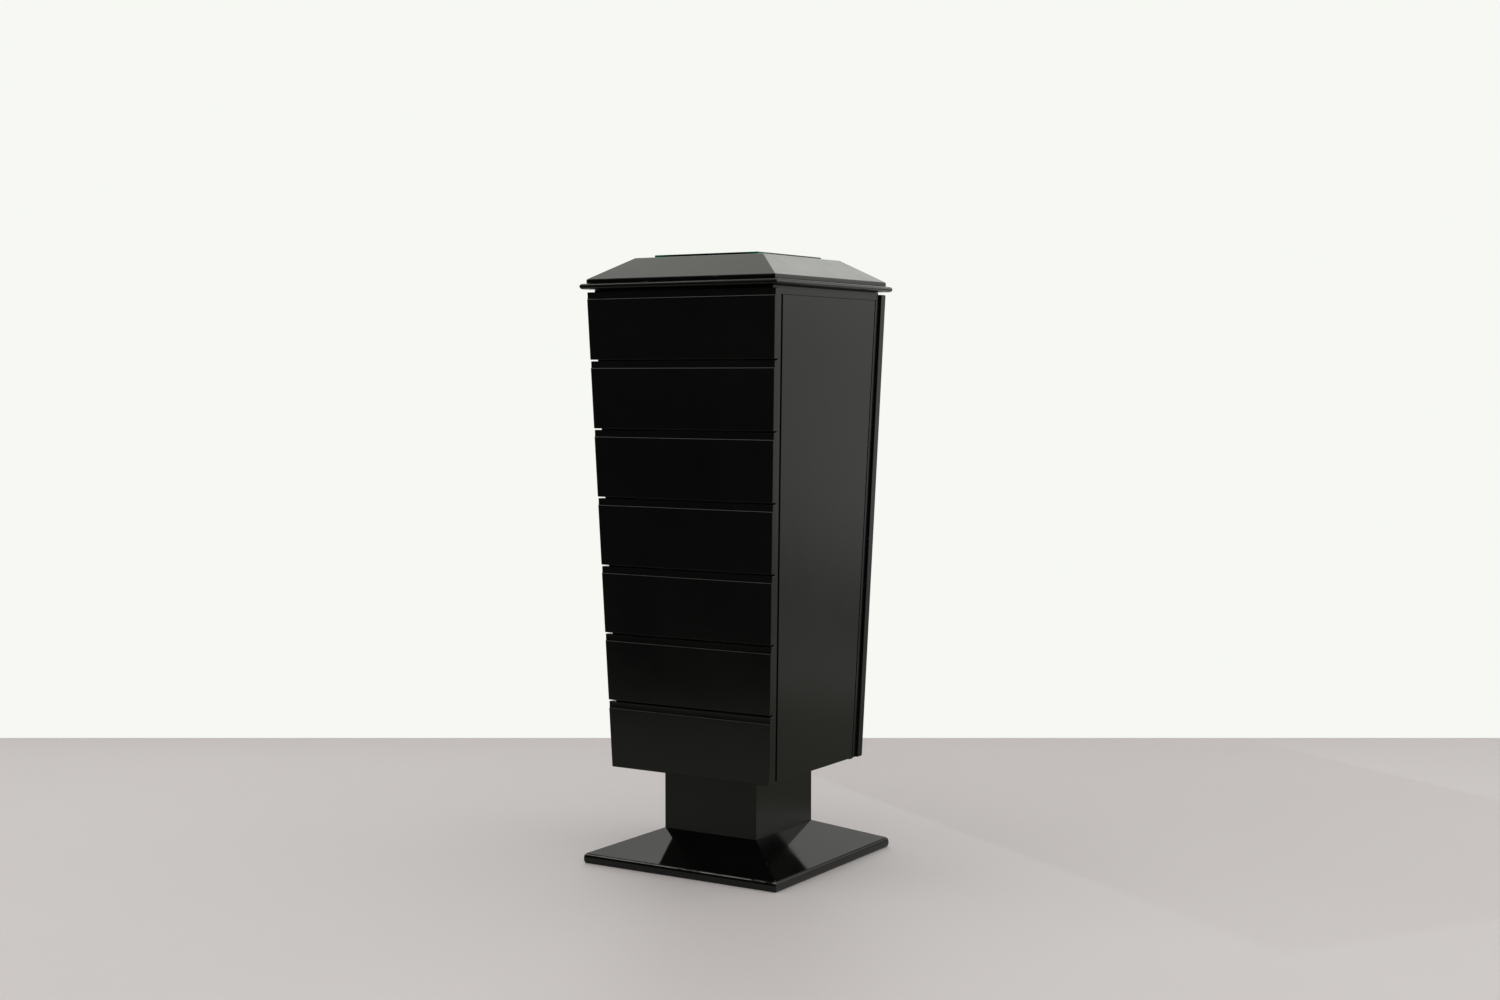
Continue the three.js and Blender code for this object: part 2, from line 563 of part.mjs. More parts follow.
// Band, hipped shell, glass slab on its flat, mirror under it and the long hinge at the rear.
function addLid() {
  const lid = new THREE.Group();
  const half = LID_WIDTH / 2;
  const axis = hingeAxis();
  const inner = half - BAND_WIDTH;
  const ring = box(-inner, inner, -inner, inner, 2 * BAND_HEIGHT).translate(0, 0, -BAND_HEIGHT / 2);
  const leafSeat = box(-HINGE_LENGTH / 2 - GAP, HINGE_LENGTH / 2 + GAP,
    axis.y - KNUCKLE_RADIUS - HINGE_LEAF_WIDTH - 2 * GAP, axis.y, 2 * HINGE_LEAF + 2 * GAP)
    .translate(0, 0, -HINGE_LEAF);
  const band = cut(box(-half, half, -half, half, BAND_HEIGHT), ring, leafSeat);
  place(lid, "lid_band", band, lacquerGloss, 0, 0, LID_BOTTOM);

  const rise = LID_RISE - GAP;
  const flat = LID_FLAT_WIDTH / 2;
  const slope = Math.atan2(rise, half - flat);
  const innerFoot = half - LID_SHELL / Math.sin(slope);
  const innerFlat = innerFoot - (rise - LID_SHELL) / Math.tan(slope);
  const hip = squareTurned([
    [0, rise - LID_SHELL], [innerFlat, rise - LID_SHELL], [innerFoot, 0], [half, 0], [flat, rise], [0, rise],
  ]);
  place(lid, "lid_hip", hip, lacquerGloss, 0, 0, LID_SHOULDER + GAP);

  const slab = SLAB_WIDTH / 2;
  place(lid, "lid_slab", box(-slab, slab, -slab, slab, SLAB_THICK), blackGlass, 0, 0, LID_FLAT + GAP);
  const mirror = MIRROR_WIDTH / 2;
  place(lid, "lid_mirror", box(-mirror, mirror, -mirror, mirror, MIRROR_THICK), silvered, 0, 0,
    LID_FLAT - LID_SHELL - GAP - MIRROR_THICK);

  place(lid, "lid_hinge_rim_leaf", hingeLeaf(-1), brass, 0, axis.y, axis.z);
  place(lid, "lid_hinge_lid_leaf", hingeLeaf(1), brass, 0, axis.y, axis.z);
  const end = new THREE.Vector3(HINGE_LENGTH / 2, 0, 0);
  place(lid, "lid_hinge_pin", rod(end.clone().negate(), end, HINGE_PIN_RADIUS), brass, 0, axis.y, axis.z);
  armoire.add(lid);
}

addBase();
addColumn();
addCarcase();
addTop();
for (let number = 1; number <= DRAWERS; number++) {
  addDrawer(number);
}
for (const [name, side] of SIDES) {
  addSideDoor(name, side);
}
addLid();

export default armoire;
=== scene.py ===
import json
from math import cos, pi, radians, sin, sqrt

import bmesh
import bpy
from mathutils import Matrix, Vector

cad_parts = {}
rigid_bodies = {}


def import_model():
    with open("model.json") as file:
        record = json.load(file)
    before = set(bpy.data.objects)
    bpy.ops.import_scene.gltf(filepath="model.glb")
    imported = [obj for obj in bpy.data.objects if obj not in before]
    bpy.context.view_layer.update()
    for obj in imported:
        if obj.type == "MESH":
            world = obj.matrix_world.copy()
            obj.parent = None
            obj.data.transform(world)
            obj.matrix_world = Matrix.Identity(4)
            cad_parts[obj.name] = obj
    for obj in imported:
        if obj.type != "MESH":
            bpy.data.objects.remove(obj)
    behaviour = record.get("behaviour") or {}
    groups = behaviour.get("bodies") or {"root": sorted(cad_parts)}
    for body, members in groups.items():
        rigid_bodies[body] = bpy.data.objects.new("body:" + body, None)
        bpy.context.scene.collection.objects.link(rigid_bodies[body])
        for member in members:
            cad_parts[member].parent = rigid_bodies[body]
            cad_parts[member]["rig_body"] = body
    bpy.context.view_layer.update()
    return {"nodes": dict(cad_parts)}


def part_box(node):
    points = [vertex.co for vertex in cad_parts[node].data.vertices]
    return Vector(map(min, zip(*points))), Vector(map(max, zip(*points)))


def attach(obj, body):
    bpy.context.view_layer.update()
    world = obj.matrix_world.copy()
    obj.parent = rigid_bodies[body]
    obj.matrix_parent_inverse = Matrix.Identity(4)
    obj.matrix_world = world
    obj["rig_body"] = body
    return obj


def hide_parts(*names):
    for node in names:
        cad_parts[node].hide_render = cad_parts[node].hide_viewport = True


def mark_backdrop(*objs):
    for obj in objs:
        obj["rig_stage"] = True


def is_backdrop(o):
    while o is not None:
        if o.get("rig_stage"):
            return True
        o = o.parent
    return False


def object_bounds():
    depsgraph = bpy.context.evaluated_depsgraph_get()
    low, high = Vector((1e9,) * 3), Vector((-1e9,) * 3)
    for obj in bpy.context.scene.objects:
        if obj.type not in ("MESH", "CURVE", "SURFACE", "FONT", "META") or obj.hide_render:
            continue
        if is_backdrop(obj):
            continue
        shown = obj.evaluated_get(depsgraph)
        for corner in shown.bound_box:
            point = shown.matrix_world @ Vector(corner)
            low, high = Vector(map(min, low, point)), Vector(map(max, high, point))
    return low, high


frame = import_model()

# ---------------------------------------------------------------------------------------------------
# The room: a pale floor that ends in white, in plain soft light. Only reflections show the wall behind,
# which is lit brighter from head height upwards,
# and two sheets of painted shade: a black one for the unlit side in front and a grey one for the dim patch
# of floor.
CAMERA_PLACE = (2.2995, -3.6377, 1.0261)
CAMERA_TURN = 31.98
CAMERA_TILT = 86.52
CAMERA_LENS = 48.6
SENSOR_WIDTH = 36
PRINT_GAMMA = 0.86
WALL_DISTANCE = 1.41
WALL_HALF = 9.0
WALL_HEIGHT = 5.0
WALL_BRIGHTENS = (1.1, 2.0, 0.98, 1.95)
WALL_FADES = ((0.0, 0.45, 0.35, 1.0), (2.2, 2.9, 1.0, 0.8))
FLOOR_REACH = 14.0
UNLIT_DISTANCE = 1.6
UNLIT_HALF = 7.0
UNLIT_HEIGHT = 2.3
DIM_NEAR = 0.55
DIM_FAR = 1.9
DIM_HALF = 1.1
DIM_LIFT = 0.002
ROOM_WHITE = (0.939, 0.947, 0.910, 1)
SIDE_SHADE_BLACK = (0.02, 0.02, 0.02, 1)
FLOOR_SHADE_GREY = (0.38, 0.37, 0.35, 1)
FLOOR_SCUFFED = (0.665, 0.623, 0.633)
FLOOR_CLEAN = (0.695, 0.653, 0.663)
FLOOR_ROUGHNESS = 0.55
FLOOR_SPECULAR = 0.25

camera = bpy.data.objects.new("camera", bpy.data.cameras.new("camera"))
camera.location = CAMERA_PLACE
camera.rotation_euler = (radians(CAMERA_TILT), 0, radians(CAMERA_TURN))
camera.data.sensor_width = SENSOR_WIDTH
camera.data.lens = CAMERA_LENS
bpy.context.scene.collection.objects.link(camera)
bpy.context.scene.camera = camera
bpy.context.scene.view_settings.view_transform = "Standard"
bpy.context.scene.view_settings.gamma = PRINT_GAMMA

world = bpy.data.worlds.new("studio")
world.use_nodes = True
world.node_tree.nodes["Background"].inputs["Color"].default_value = ROOM_WHITE
bpy.context.scene.world = world

forward = Vector((-sin(radians(CAMERA_TURN)), cos(radians(CAMERA_TURN)), 0))
rightward = Vector((forward.y, -forward.x, 0))
upward = Vector((0, 0, 1))


def placed(name, mesh):
    """A piece with the mesh, in the scene."""
    piece = bpy.data.objects.new(name, mesh)
    bpy.context.scene.collection.objects.link(piece)
    return piece


def panel(name, corners, finish):
    """A flat four-cornered sheet."""
    mesh = bpy.data.meshes.new(name)
    mesh.from_pydata(corners, [], [(0, 1, 2, 3)])
    mesh.materials.append(finish)
    return placed(name, mesh)


def material_with(name):
    """A new material with its nodes, its links and its surface shader."""
    material = bpy.data.materials.new(name)
    material.use_nodes = True
    tree = material.node_tree
    return material, tree.nodes, tree.links, tree.nodes["Principled BSDF"]


def patches(nodes, links, scale, detail=3.0, roughness=0.5, stretch=(1, 1, 1)):
    """A noise in the piece's own coordinates; scale is in blotches for each metre."""
    place = nodes.new("ShaderNodeTexCoord")
    mapping = nodes.new("ShaderNodeMapping")
    mapping.inputs["Scale"].default_value = stretch
    noise = nodes.new("ShaderNodeTexNoise")
    noise.inputs["Scale"].default_value = scale
    noise.inputs["Detail"].default_value = detail
    noise.inputs["Roughness"].default_value = roughness
    links.new(place.outputs["Object"], mapping.inputs["Vector"])
    links.new(mapping.outputs["Vector"], noise.inputs["Vector"])
    return noise.outputs["Fac"]


def own_axes(nodes, links):
    """How far along each axis a point of the piece lies."""
    split = nodes.new("ShaderNodeSeparateXYZ")
    links.new(nodes.new("ShaderNodeTexCoord").outputs["Object"], split.inputs["Vector"])
    return split.outputs


def spread(nodes, links, source, low, high, new_low, new_high):
    """A value stretched from one range to another and held at its ends."""
    change = nodes.new("ShaderNodeMapRange")
    for socket, value in zip(("From Min", "From Max", "To Min", "To Max"), (low, high, new_low, new_high)):
        change.inputs[socket].default_value = value
    links.new(source, change.inputs["Value"])
    return change.outputs["Result"]


def worked_out(nodes, links, operation, *values):
    """The result of a sum on its values, each of which is a number or another node's output."""
    step = nodes.new("ShaderNodeMath")
    step.operation = operation
    for socket, value in zip(step.inputs, values):
        if isinstance(value, (int, float)):
            socket.default_value = value
        else:
            links.new(value, socket)
    return step.outputs[0]


def blended(nodes, links, share, first, second):
    """A colour between two, by a share from 0 to 1; each is a colour or another node's output."""
    mix = nodes.new("ShaderNodeMix")
    mix.data_type = "RGBA"
    links.new(share, mix.inputs[0])
    for socket, colour in ((mix.inputs[6], first), (mix.inputs[7], second)):
        if isinstance(colour, tuple):
            socket.default_value = (*colour, 1)
        else:
            links.new(colour, socket)
    return mix.outputs[2]


def relief(nodes, links, shader, source, strength, distance):
    """Small bumps from a pattern."""
    bump = nodes.new("ShaderNodeBump")
    bump.inputs["Strength"].default_value = strength
    bump.inputs["Distance"].default_value = distance
    links.new(source, bump.inputs["Height"])
    links.new(bump.outputs["Normal"], shader.inputs["Normal"])


floor_paint, nodes, links, shader = material_with("floor paint")
scuffs = patches(nodes, links, 1.4, 5.0)
links.new(blended(nodes, links, scuffs, FLOOR_SCUFFED, FLOOR_CLEAN), shader.inputs["Base Color"])
shader.inputs["Roughness"].default_value = FLOOR_ROUGHNESS
shader.inputs["Specular IOR Level"].default_value = FLOOR_SPECULAR

wall_foot = forward * WALL_DISTANCE
floor = panel("floor", [
    wall_foot - rightward * FLOOR_REACH, wall_foot - rightward * FLOOR_REACH - forward * FLOOR_REACH,
    wall_foot + rightward * FLOOR_REACH - forward * FLOOR_REACH, wall_foot + rightward * FLOOR_REACH,
], floor_paint)

wall_light = bpy.data.materials.new("lit wall")
wall_light.use_nodes = True
nodes, links = wall_light.node_tree.nodes, wall_light.node_tree.links
nodes.remove(nodes["Principled BSDF"])
glow = nodes.new("ShaderNodeEmission")
glow.inputs["Color"].default_value = ROOM_WHITE
height = own_axes(nodes, links)["Z"]
strength = spread(nodes, links, height, *WALL_BRIGHTENS)
for fade in WALL_FADES:
    strength = worked_out(nodes, links, "MULTIPLY", strength, spread(nodes, links, height, *fade))
links.new(strength, glow.inputs["Strength"])
links.new(glow.outputs["Emission"], nodes["Material Output"].inputs["Surface"])
wall = panel("lit_wall", [
    wall_foot - rightward * WALL_HALF, wall_foot + rightward * WALL_HALF,
    wall_foot + rightward * WALL_HALF + upward * WALL_HEIGHT,
    wall_foot - rightward * WALL_HALF + upward * WALL_HEIGHT,
], wall_light)
wall.visible_camera = False
wall.visible_diffuse = False

# A black sheet of painted shade stands for the unlit side of the room. Only glossy rays see it, so it
# darkens what the lacquer reflects.
side_shade_finish, nodes, links, shader = material_with("unlit cloth")
shader.inputs["Base Color"].default_value = SIDE_SHADE_BLACK
shader.inputs["Specular IOR Level"].default_value = 0
unlit_foot = -(forward + rightward).normalized() * UNLIT_DISTANCE
unlit_along = (forward - rightward).normalized()
unlit = panel("unlit_side", [
    unlit_foot - unlit_along * UNLIT_HALF, unlit_foot + unlit_along * UNLIT_HALF,
    unlit_foot + unlit_along * UNLIT_HALF + upward * UNLIT_HEIGHT,
    unlit_foot - unlit_along * UNLIT_HALF + upward * UNLIT_HEIGHT,
], side_shade_finish)

# A grey sheet of painted shade lies on the floor at the rear right of the body. Only glossy rays see it, so
# it darkens what the lower lacquer reflects.
floor_shade_finish, nodes, links, shader = material_with("dim cloth")
shader.inputs["Base Color"].default_value = FLOOR_SHADE_GREY
shader.inputs["Specular IOR Level"].default_value = 0
aside = Vector((-forward.x, forward.y, 0))
across = Vector((aside.y, -aside.x, 0))
lifted = upward * DIM_LIFT
dim = panel("painted_floor_shade", [
    aside * DIM_NEAR - across * DIM_HALF + lifted, aside * DIM_NEAR + across * DIM_HALF + lifted,
    aside * DIM_FAR + across * DIM_HALF + lifted, aside * DIM_FAR - across * DIM_HALF + lifted,
], floor_shade_finish)
for sheet in (unlit, dim):
    sheet.visible_camera = False
    sheet.visible_diffuse = False
    sheet.visible_shadow = False
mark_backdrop(floor, wall, unlit, dim)

# ---------------------------------------------------------------------------------------------------
# Base: a square plate with a bullnosed edge, mitred at its corners, and over it a low hipped cover that
# the column stands in. Both are polished black lacquer, rubbed pale along the front edge and corner.
PLATE_NOSE = 0.18
PLATE_NOSE_STEPS = 20
PLATE_RUBBED_BAND = 0.0022
PLATE_RUBBED_TURN = -0.2
COVER_EASE = 0.0008
HIP_EDGES_OVER = 18
MERGE_WITHIN = 0.00002
FLAT_WITHIN = 0.6
LONG_EDGE = 6
GLOSS_IOR = 1.48
GLOSS_BLACK = (0.0030, 0.0032, 0.0031)
GLOSS_BLOOM = (0.0044, 0.0047, 0.0045)
RUBBED = (0.20, 0.20, 0.19)
RUBBED_FADE = 0.10
CHIPPED_CORNER = (0.2355, -0.2355, 0.018)
CHIP_SPREADS = (0.003, 0.011, 0.22, 0)


def gloss_lacquer(name, rubbed_from=None):
    """Polished black lacquer with a faint orange peel and bloom, rubbed grey in dashes if asked."""
    material, nodes, links, shader = material_with(name)
    bloom = patches(nodes, links, 5.0, 4.0)
    colour = blended(nodes, links, bloom, GLOSS_BLACK, GLOSS_BLOOM)
    polish = spread(nodes, links, patches(nodes, links, 9.0, 6.0, 0.65), 0.45, 0.75, 0.045, 0.11)
    if rubbed_from is not None:
        near = nodes.new("ShaderNodeVectorMath")
        near.operation = "DISTANCE"
        near.inputs[1].default_value = CHIPPED_CORNER
        links.new(nodes.new("ShaderNodeTexCoord").outputs["Object"], near.inputs[0])
        dashes = patches(nodes, links, 150.0, 6.0, 0.7, (0.14, 1, 1))
        chip = spread(nodes, links, near.outputs["Value"], *CHIP_SPREADS)
        spots = worked_out(nodes, links, "ADD", dashes, chip)
        bare = spread(nodes, links, spots, rubbed_from, rubbed_from + RUBBED_FADE, 0, 1)
        colour = blended(nodes, links, bare, colour, RUBBED)
        polish = spread(nodes, links, spots, rubbed_from, rubbed_from + RUBBED_FADE, 0.12, 0.6)
    links.new(colour, shader.inputs["Base Color"])
    links.new(polish, shader.inputs["Roughness"])
    shader.inputs["IOR"].default_value = GLOSS_IOR
    relief(nodes, links, shader, patches(nodes, links, 260.0, 2.0), 0.05, 0.0004)
    return material


def put_right(mesh, smooth_below=35):
    """Smooth shading that stops at edges sharper than the angle."""
    mesh.shade_smooth()
    mesh.set_sharp_from_angle(angle=radians(smooth_below))


def square_turned(name, profile):
    """A closed square piece whose outline is given as (half width, height) from the bottom middle up."""
    work = bmesh.new()
    rings = []
    for half, z in profile:
        corners = [(-half, -half), (half, -half), (half, half), (-half, half)]
        rings.append([work.verts.new((x, y, z)) for x, y in corners])
    work.faces.new(reversed(rings[0]))
    work.faces.new(rings[-1])
    for lower, upper in zip(rings, rings[1:]):
        for i in range(4):
            j = (i + 1) % 4
            work.faces.new((lower[i], lower[j], upper[j], upper[i]))
    mesh = bpy.data.meshes.new(name)
    work.to_mesh(mesh)
    work.free()
    put_right(mesh)
    return placed(name, mesh)


def nosed(half, nose, low, high, steps):
    """The outline of an edge rounded between two heights, bulging by nose to the half width."""
    middle, rise = (low + high) / 2, (high - low) / 2
    turns = [(i / steps - 0.5) * pi for i in range(steps + 1)]
    return [(half - nose + nose * cos(turn), middle + rise * sin(turn)) for turn in turns]


def eased(node, radius, finish, arris, steps=3, over=30):
    """A copy of a CAD piece with its long edges rounded, in its place, on its body and in its finish."""
    work = bmesh.new()
    work.from_mesh(frame["nodes"][node].data)
    bmesh.ops.remove_doubles(work, verts=work.verts, dist=MERGE_WITHIN)
    bmesh.ops.dissolve_limit(work, angle_limit=radians(FLAT_WITHIN), verts=work.verts, edges=work.edges)
    for face in work.faces:
        face.material_index = 0
    sharp = [e for e in work.edges
             if e.is_manifold and e.is_convex and e.calc_face_angle() > radians(over)]
    long_enough = [e for e in sharp if e.calc_length() > LONG_EDGE * radius]
    if radius:
        bmesh.ops.bevel(work, geom=long_enough, offset=radius, offset_type="OFFSET", segments=steps,
                        profile=0.5, affect="EDGES", clamp_overlap=True, material=1)
    mesh = bpy.data.meshes.new(node + "_eased")
    work.to_mesh(mesh)
    work.free()
    put_right(mesh)
    mesh.materials.append(finish)
    mesh.materials.append(arris)
    piece = placed(node + "_eased", mesh)
    flat = piece.modifiers.new("flat faces", "WEIGHTED_NORMAL")
    flat.weight = 100
    flat.keep_sharp = True
    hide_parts(node)
    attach(piece, frame["nodes"][node]["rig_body"])
    return piece


gloss = gloss_lacquer("black gloss lacquer")
gloss_arris = gloss_lacquer("black gloss lacquer on an edge", rubbed_from=0.60)
gloss_worn = gloss_lacquer("black gloss lacquer on a rubbed edge", rubbed_from=0.40)

low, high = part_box("base_plate")
plate_nose = high.x - (high.z - low.z) * PLATE_NOSE
plate_edge = nosed(high.x, high.x - plate_nose, low.z, high.z, PLATE_NOSE_STEPS)
plate = square_turned("base_plate_turned", plate_edge)
plate.data.materials.append(gloss)
plate.data.materials.append(gloss_worn)
for face in plate.data.polygons:
    if face.center.z > high.z - PLATE_RUBBED_BAND and face.normal.y < PLATE_RUBBED_TURN:
        face.material_index = 1
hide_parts("base_plate")
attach(plate, "cabinet")
eased("base_hip", COVER_EASE, gloss, gloss_arris, over=HIP_EDGES_OVER)

# ---------------------------------------------------------------------------------------------------
# Column: four boards mitred round the corners under satin black lacquer, with a plain wooden cap let in
# at the top that the body is screwed down to.
SATIN_BLACK = (0.0038, 0.0044, 0.0043)
SATIN_HAZE = (0.0058, 0.0066, 0.0064)
SATIN_TINT = (0.97, 1.0, 0.88, 1)
SATIN_SPECULAR = 0.39
SATIN_SPOTS_FADE = 0.08
WOOD_DARK = (0.020, 0.0105, 0.0065)
WOOD_LIGHT = (0.060, 0.030, 0.0165)
WOOD_PORE = (0.008, 0.004, 0.003)
WOOD_SPECULAR = 0.35
ALONG_GRAIN = 0.06
COLUMN_EASE = 0.0007


def satin_lacquer(name, rubbed_from=None):
    """Satin black lacquer: sprayed grain, rubbing haze and, on edges, small pale spots."""
    material, nodes, links, shader = material_with(name)
    haze = patches(nodes, links, 3.2, 5.0, 0.6)
    colour = blended(nodes, links, spread(nodes, links, haze, 0.35, 0.7, 0, 1), SATIN_BLACK, SATIN_HAZE)
    rubbing = patches(nodes, links, 7.0, 6.0, 0.6)
    sheen = spread(nodes, links, rubbing, 0.35, 0.72, 0.20, 0.27)
    if rubbed_from is not None:
        spots = patches(nodes, links, 60.0, 7.0, 0.7)
        bare = spread(nodes, links, spots, rubbed_from, rubbed_from + SATIN_SPOTS_FADE, 0, 1)
        colour = blended(nodes, links, bare, colour, RUBBED)
    links.new(colour, shader.inputs["Base Color"])
    links.new(sheen, shader.inputs["Roughness"])
    shader.inputs["Specular IOR Level"].default_value = SATIN_SPECULAR
    shader.inputs["Specular Tint"].default_value = SATIN_TINT
    relief(nodes, links, shader, patches(nodes, links, 1400.0, 2.0), 0.04, 0.0002)
    return material


def stained_wood(name, stretch):
    """Dark stained wood; the grain runs along the axis that the pattern is drawn out on."""
    material, nodes, links, shader = material_with(name)
    figure = patches(nodes, links, 26.0, 6.0, 0.62, stretch)
    pores = patches(nodes, links, 420.0, 3.0, 0.7, stretch)
    tone = blended(nodes, links, spread(nodes, links, figure, 0.32, 0.68, 0, 1), WOOD_DARK, WOOD_LIGHT)
    dark = spread(nodes, links, pores, 0.56, 0.66, 0, 0.75)
    links.new(blended(nodes, links, dark, tone, WOOD_PORE), shader.inputs["Base Color"])
    links.new(spread(nodes, links, pores, 0.4, 0.7, 0.38, 0.55), shader.inputs["Roughness"])
    shader.inputs["Specular IOR Level"].default_value = WOOD_SPECULAR
    relief(nodes, links, shader, pores, 0.25, 0.0003)
    return material


satin = satin_lacquer("satin black lacquer")
satin_arris = satin_lacquer("satin black lacquer on an edge", rubbed_from=0.66)
wood_across = stained_wood("stained wood, grain across", (ALONG_GRAIN, 1, 1))
wood_deep = stained_wood("stained wood, grain front to back", (1, ALONG_GRAIN, 1))
wood_upright = stained_wood("stained wood, grain upright", (1, 1, ALONG_GRAIN))

for side in ("front", "right", "back", "left"):
    eased("column_" + side, COLUMN_EASE, satin, satin_arris)
eased("column_cap", COLUMN_EASE, wood_across, wood_across)

# ---------------------------------------------------------------------------------------------------
# Carcase: a full-height slab at the back, a bottom board, four stiles, two inner walls and six shelves
# that the drawers run on, glued and pinned. What shows is satin lacquer, the rest is stained wood.
SLAB_EASE = 0.0012
STILE_EASE = 0.0006
SHELF_EASE = 0.0005

eased("back_panel", SLAB_EASE, satin, satin_arris)
for side in ("left", "right"):
    eased("front_stile_" + side, STILE_EASE, satin, satin_arris)
    eased("rear_stile_" + side, STILE_EASE, satin, satin_arris)
    eased("inner_wall_" + side, STILE_EASE, wood_upright, wood_upright)
eased("bottom_board", STILE_EASE, satin, satin_arris)
for number in range(1, 7):
    eased(f"shelf_{number}", SHELF_EASE, wood_across, wood_across)

# ---------------------------------------------------------------------------------------------------
# Top: the board over the body, the recessed neck on it and the rim moulding that the lid closes on. The
# rim's edge is a full half round, and it is cut away at the rear for the hinge.
NECK_EASE = 0.0005

eased("top_board", NECK_EASE, satin, satin_arris)
eased("neck_frame", NECK_EASE, satin, satin_arris)
eased("rim_moulding", 0.0, satin, satin_arris)

# ---------------------------------------------------------------------------------------------------
# Tray under the lid: a stained wooden tub lined with a velvet pad sewn into rolls, which rings are pushed
# between. The rolls are foam under the cloth, pulled down in the seams and rounded at their ends.
TUB_EASE = 0.0008
TRAY_ROLLS = 16
ROLL_STEPS = 8
ROLL_LONG_STEPS = 40
ROLL_FULLNESS = 0.93
ROLL_UNEVEN = 0.05
ROLL_WAVE = 0.02
ROLL_WAVES = 61
SEAM_DEPTH = 0.0006
SEAM_FROM = 0.7
CLOTH_EDGES = 60
VELVET_DARK = (0.030, 0.0030, 0.0060)
VELVET_LIGHT = (0.105, 0.012, 0.022)
VELVET_DEEP = (0.014, 0.0015, 0.003)
VELVET_SHEEN = (0.85, 0.30, 0.38, 1)


def burgundy_velvet():
    """Cut velvet: a short pile that catches light at a slant, brushed into lighter and darker patches."""
    material, nodes, links, shader = material_with("burgundy velvet")
    brushed = spread(nodes, links, patches(nodes, links, 24.0, 4.0, 0.6), 0.35, 0.68, 0, 1)
    pile = patches(nodes, links, 1500.0, 2.0, 0.7)
    nap = blended(nodes, links, brushed, VELVET_DARK, VELVET_LIGHT)
    shade = spread(nodes, links, pile, 0.35, 0.65, 0.0, 0.6)
    links.new(blended(nodes, links, shade, nap, VELVET_DEEP), shader.inputs["Base Color"])
    shader.inputs["Roughness"].default_value = 0.95
    shader.inputs["Specular IOR Level"].default_value = 0.12
    shader.inputs["Sheen Weight"].default_value = 0.55
    shader.inputs["Sheen Roughness"].default_value = 0.35
    shader.inputs["Sheen Tint"].default_value = VELVET_SHEEN
    relief(nodes, links, shader, pile, 0.5, 0.0006)
    return material


velvet = burgundy_velvet()


def padding_under(work, rows, under):
    """Covers rows of points with cloth and closes the padding with sides and a flat underneath."""
    for lower, upper in zip(rows, rows[1:]):
        for i in range(len(lower) - 1):
            work.faces.new((lower[i], lower[i + 1], upper[i + 1], upper[i]))
    skirt = bmesh.ops.extrude_edge_only(work, edges=[e for e in work.edges if e.is_boundary])
    for vertex in [v for v in skirt["geom"] if isinstance(v, bmesh.types.BMVert)]:
        vertex.co.z = under
    bmesh.ops.holes_fill(work, edges=[e for e in work.edges if e.is_boundary], sides=0)
    bmesh.ops.recalc_face_normals(work, faces=work.faces)


def sewn_rolls(name, node, rolls):
    """A padded lining in the place of a CAD one, crowned into rolls that run across it."""
    low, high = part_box(node)
    pitch = (high.y - low.y) / rolls
    radius = pitch / 2
    base = high.z - radius
    work = bmesh.new()
    rows = []
    for j in range(rolls * ROLL_STEPS + 1):
        across = (j % ROLL_STEPS) / ROLL_STEPS * 2 - 1 if j % ROLL_STEPS else -1
        swell = sqrt(max(0.0, 1 - across * across)) * radius
        fullness = ROLL_FULLNESS + ROLL_UNEVEN * sin(1.7 * (j // ROLL_STEPS) + 0.6)
        row = []
        for i in range(ROLL_LONG_STEPS + 1):
            x = low.x + (high.x - low.x) * i / ROLL_LONG_STEPS
            to_end = min(x - low.x, high.x - x)
            rounding = sqrt(1 - (1 - to_end / radius) ** 2) if to_end < radius else 1.0
            wave = 1 + ROLL_WAVE * sin(ROLL_WAVES * x + 0.9 * (j // ROLL_STEPS))
            seam = SEAM_DEPTH if abs(across) > SEAM_FROM else 0.0
            z = base + max(-SEAM_DEPTH, swell * rounding * fullness * wave - seam)
            row.append(work.verts.new((x, low.y + pitch * j / ROLL_STEPS, z)))
        rows.append(row)
    padding_under(work, rows, low.z)
    mesh = bpy.data.meshes.new(name)
    work.to_mesh(mesh)
    work.free()
    put_right(mesh, CLOTH_EDGES)
    mesh.materials.append(velvet)
    piece = placed(name, mesh)
    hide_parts(node)
    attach(piece, frame["nodes"][node]["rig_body"])


eased("tray", TUB_EASE, wood_deep, wood_deep)
sewn_rolls("tray_ring_rolls", "tray_insert", TRAY_ROLLS)

# ---------------------------------------------------------------------------------------------------
# Drawers: a thick lacquered front with a finger rebate along its top, screwed from inside to a stained
# box with finger-jointed corners. The upper three are fitted with velvet, the lower four are lined.
FRONT_EASE = 0.0015
BOX_WALL = 0.009
BOX_FLOOR = 0.006
BOX_EASE = 0.00035
BOX_EDGES_OVER = 40
FRONT_LEAN = 0.03527
REBATE_HEIGHT = 0.014
REBATE_BAND = 0.002
FACING = 0.5
REBATE_HIGHLIGHT_GREY = (0.125, 0.130, 0.118)
FINGERS = 9
DRAWERS = 7
FITTED_DRAWERS = 3
DRAWER_ROLLS = 14
DRAWER_CELLS = ((2, 2, 2), (3, 1, 3))
CELL_MARGIN = 0.004
CELL_FLOOR = 0.0031
LINING_CLEAR = 0.0004
LINING_THICK = 0.0032
PAD_STEPS = 18
PAD_PULL = 0.0012
PAD_FLATNESS = 8
PAD_RIM = 0.35
DIVIDER_EASE = 0.0021
SCREW_HEAD = 0.0034
SCREW_PROUD = 0.0009
SCREW_SLOT = 0.0009
SCREW_SIDES = 24
SCREW_CROWN = 0.72
SLOT_REACH = 3
SCREW_DOWN = (0.015, 0.034)
SCREW_IN = 0.028
BRASS = (0.60, 0.43, 0.19)
BRASS_DULL = (0.47, 0.33, 0.14)
STEEL = (0.52, 0.53, 0.54)
STEEL_DULL = (0.30, 0.30, 0.30)


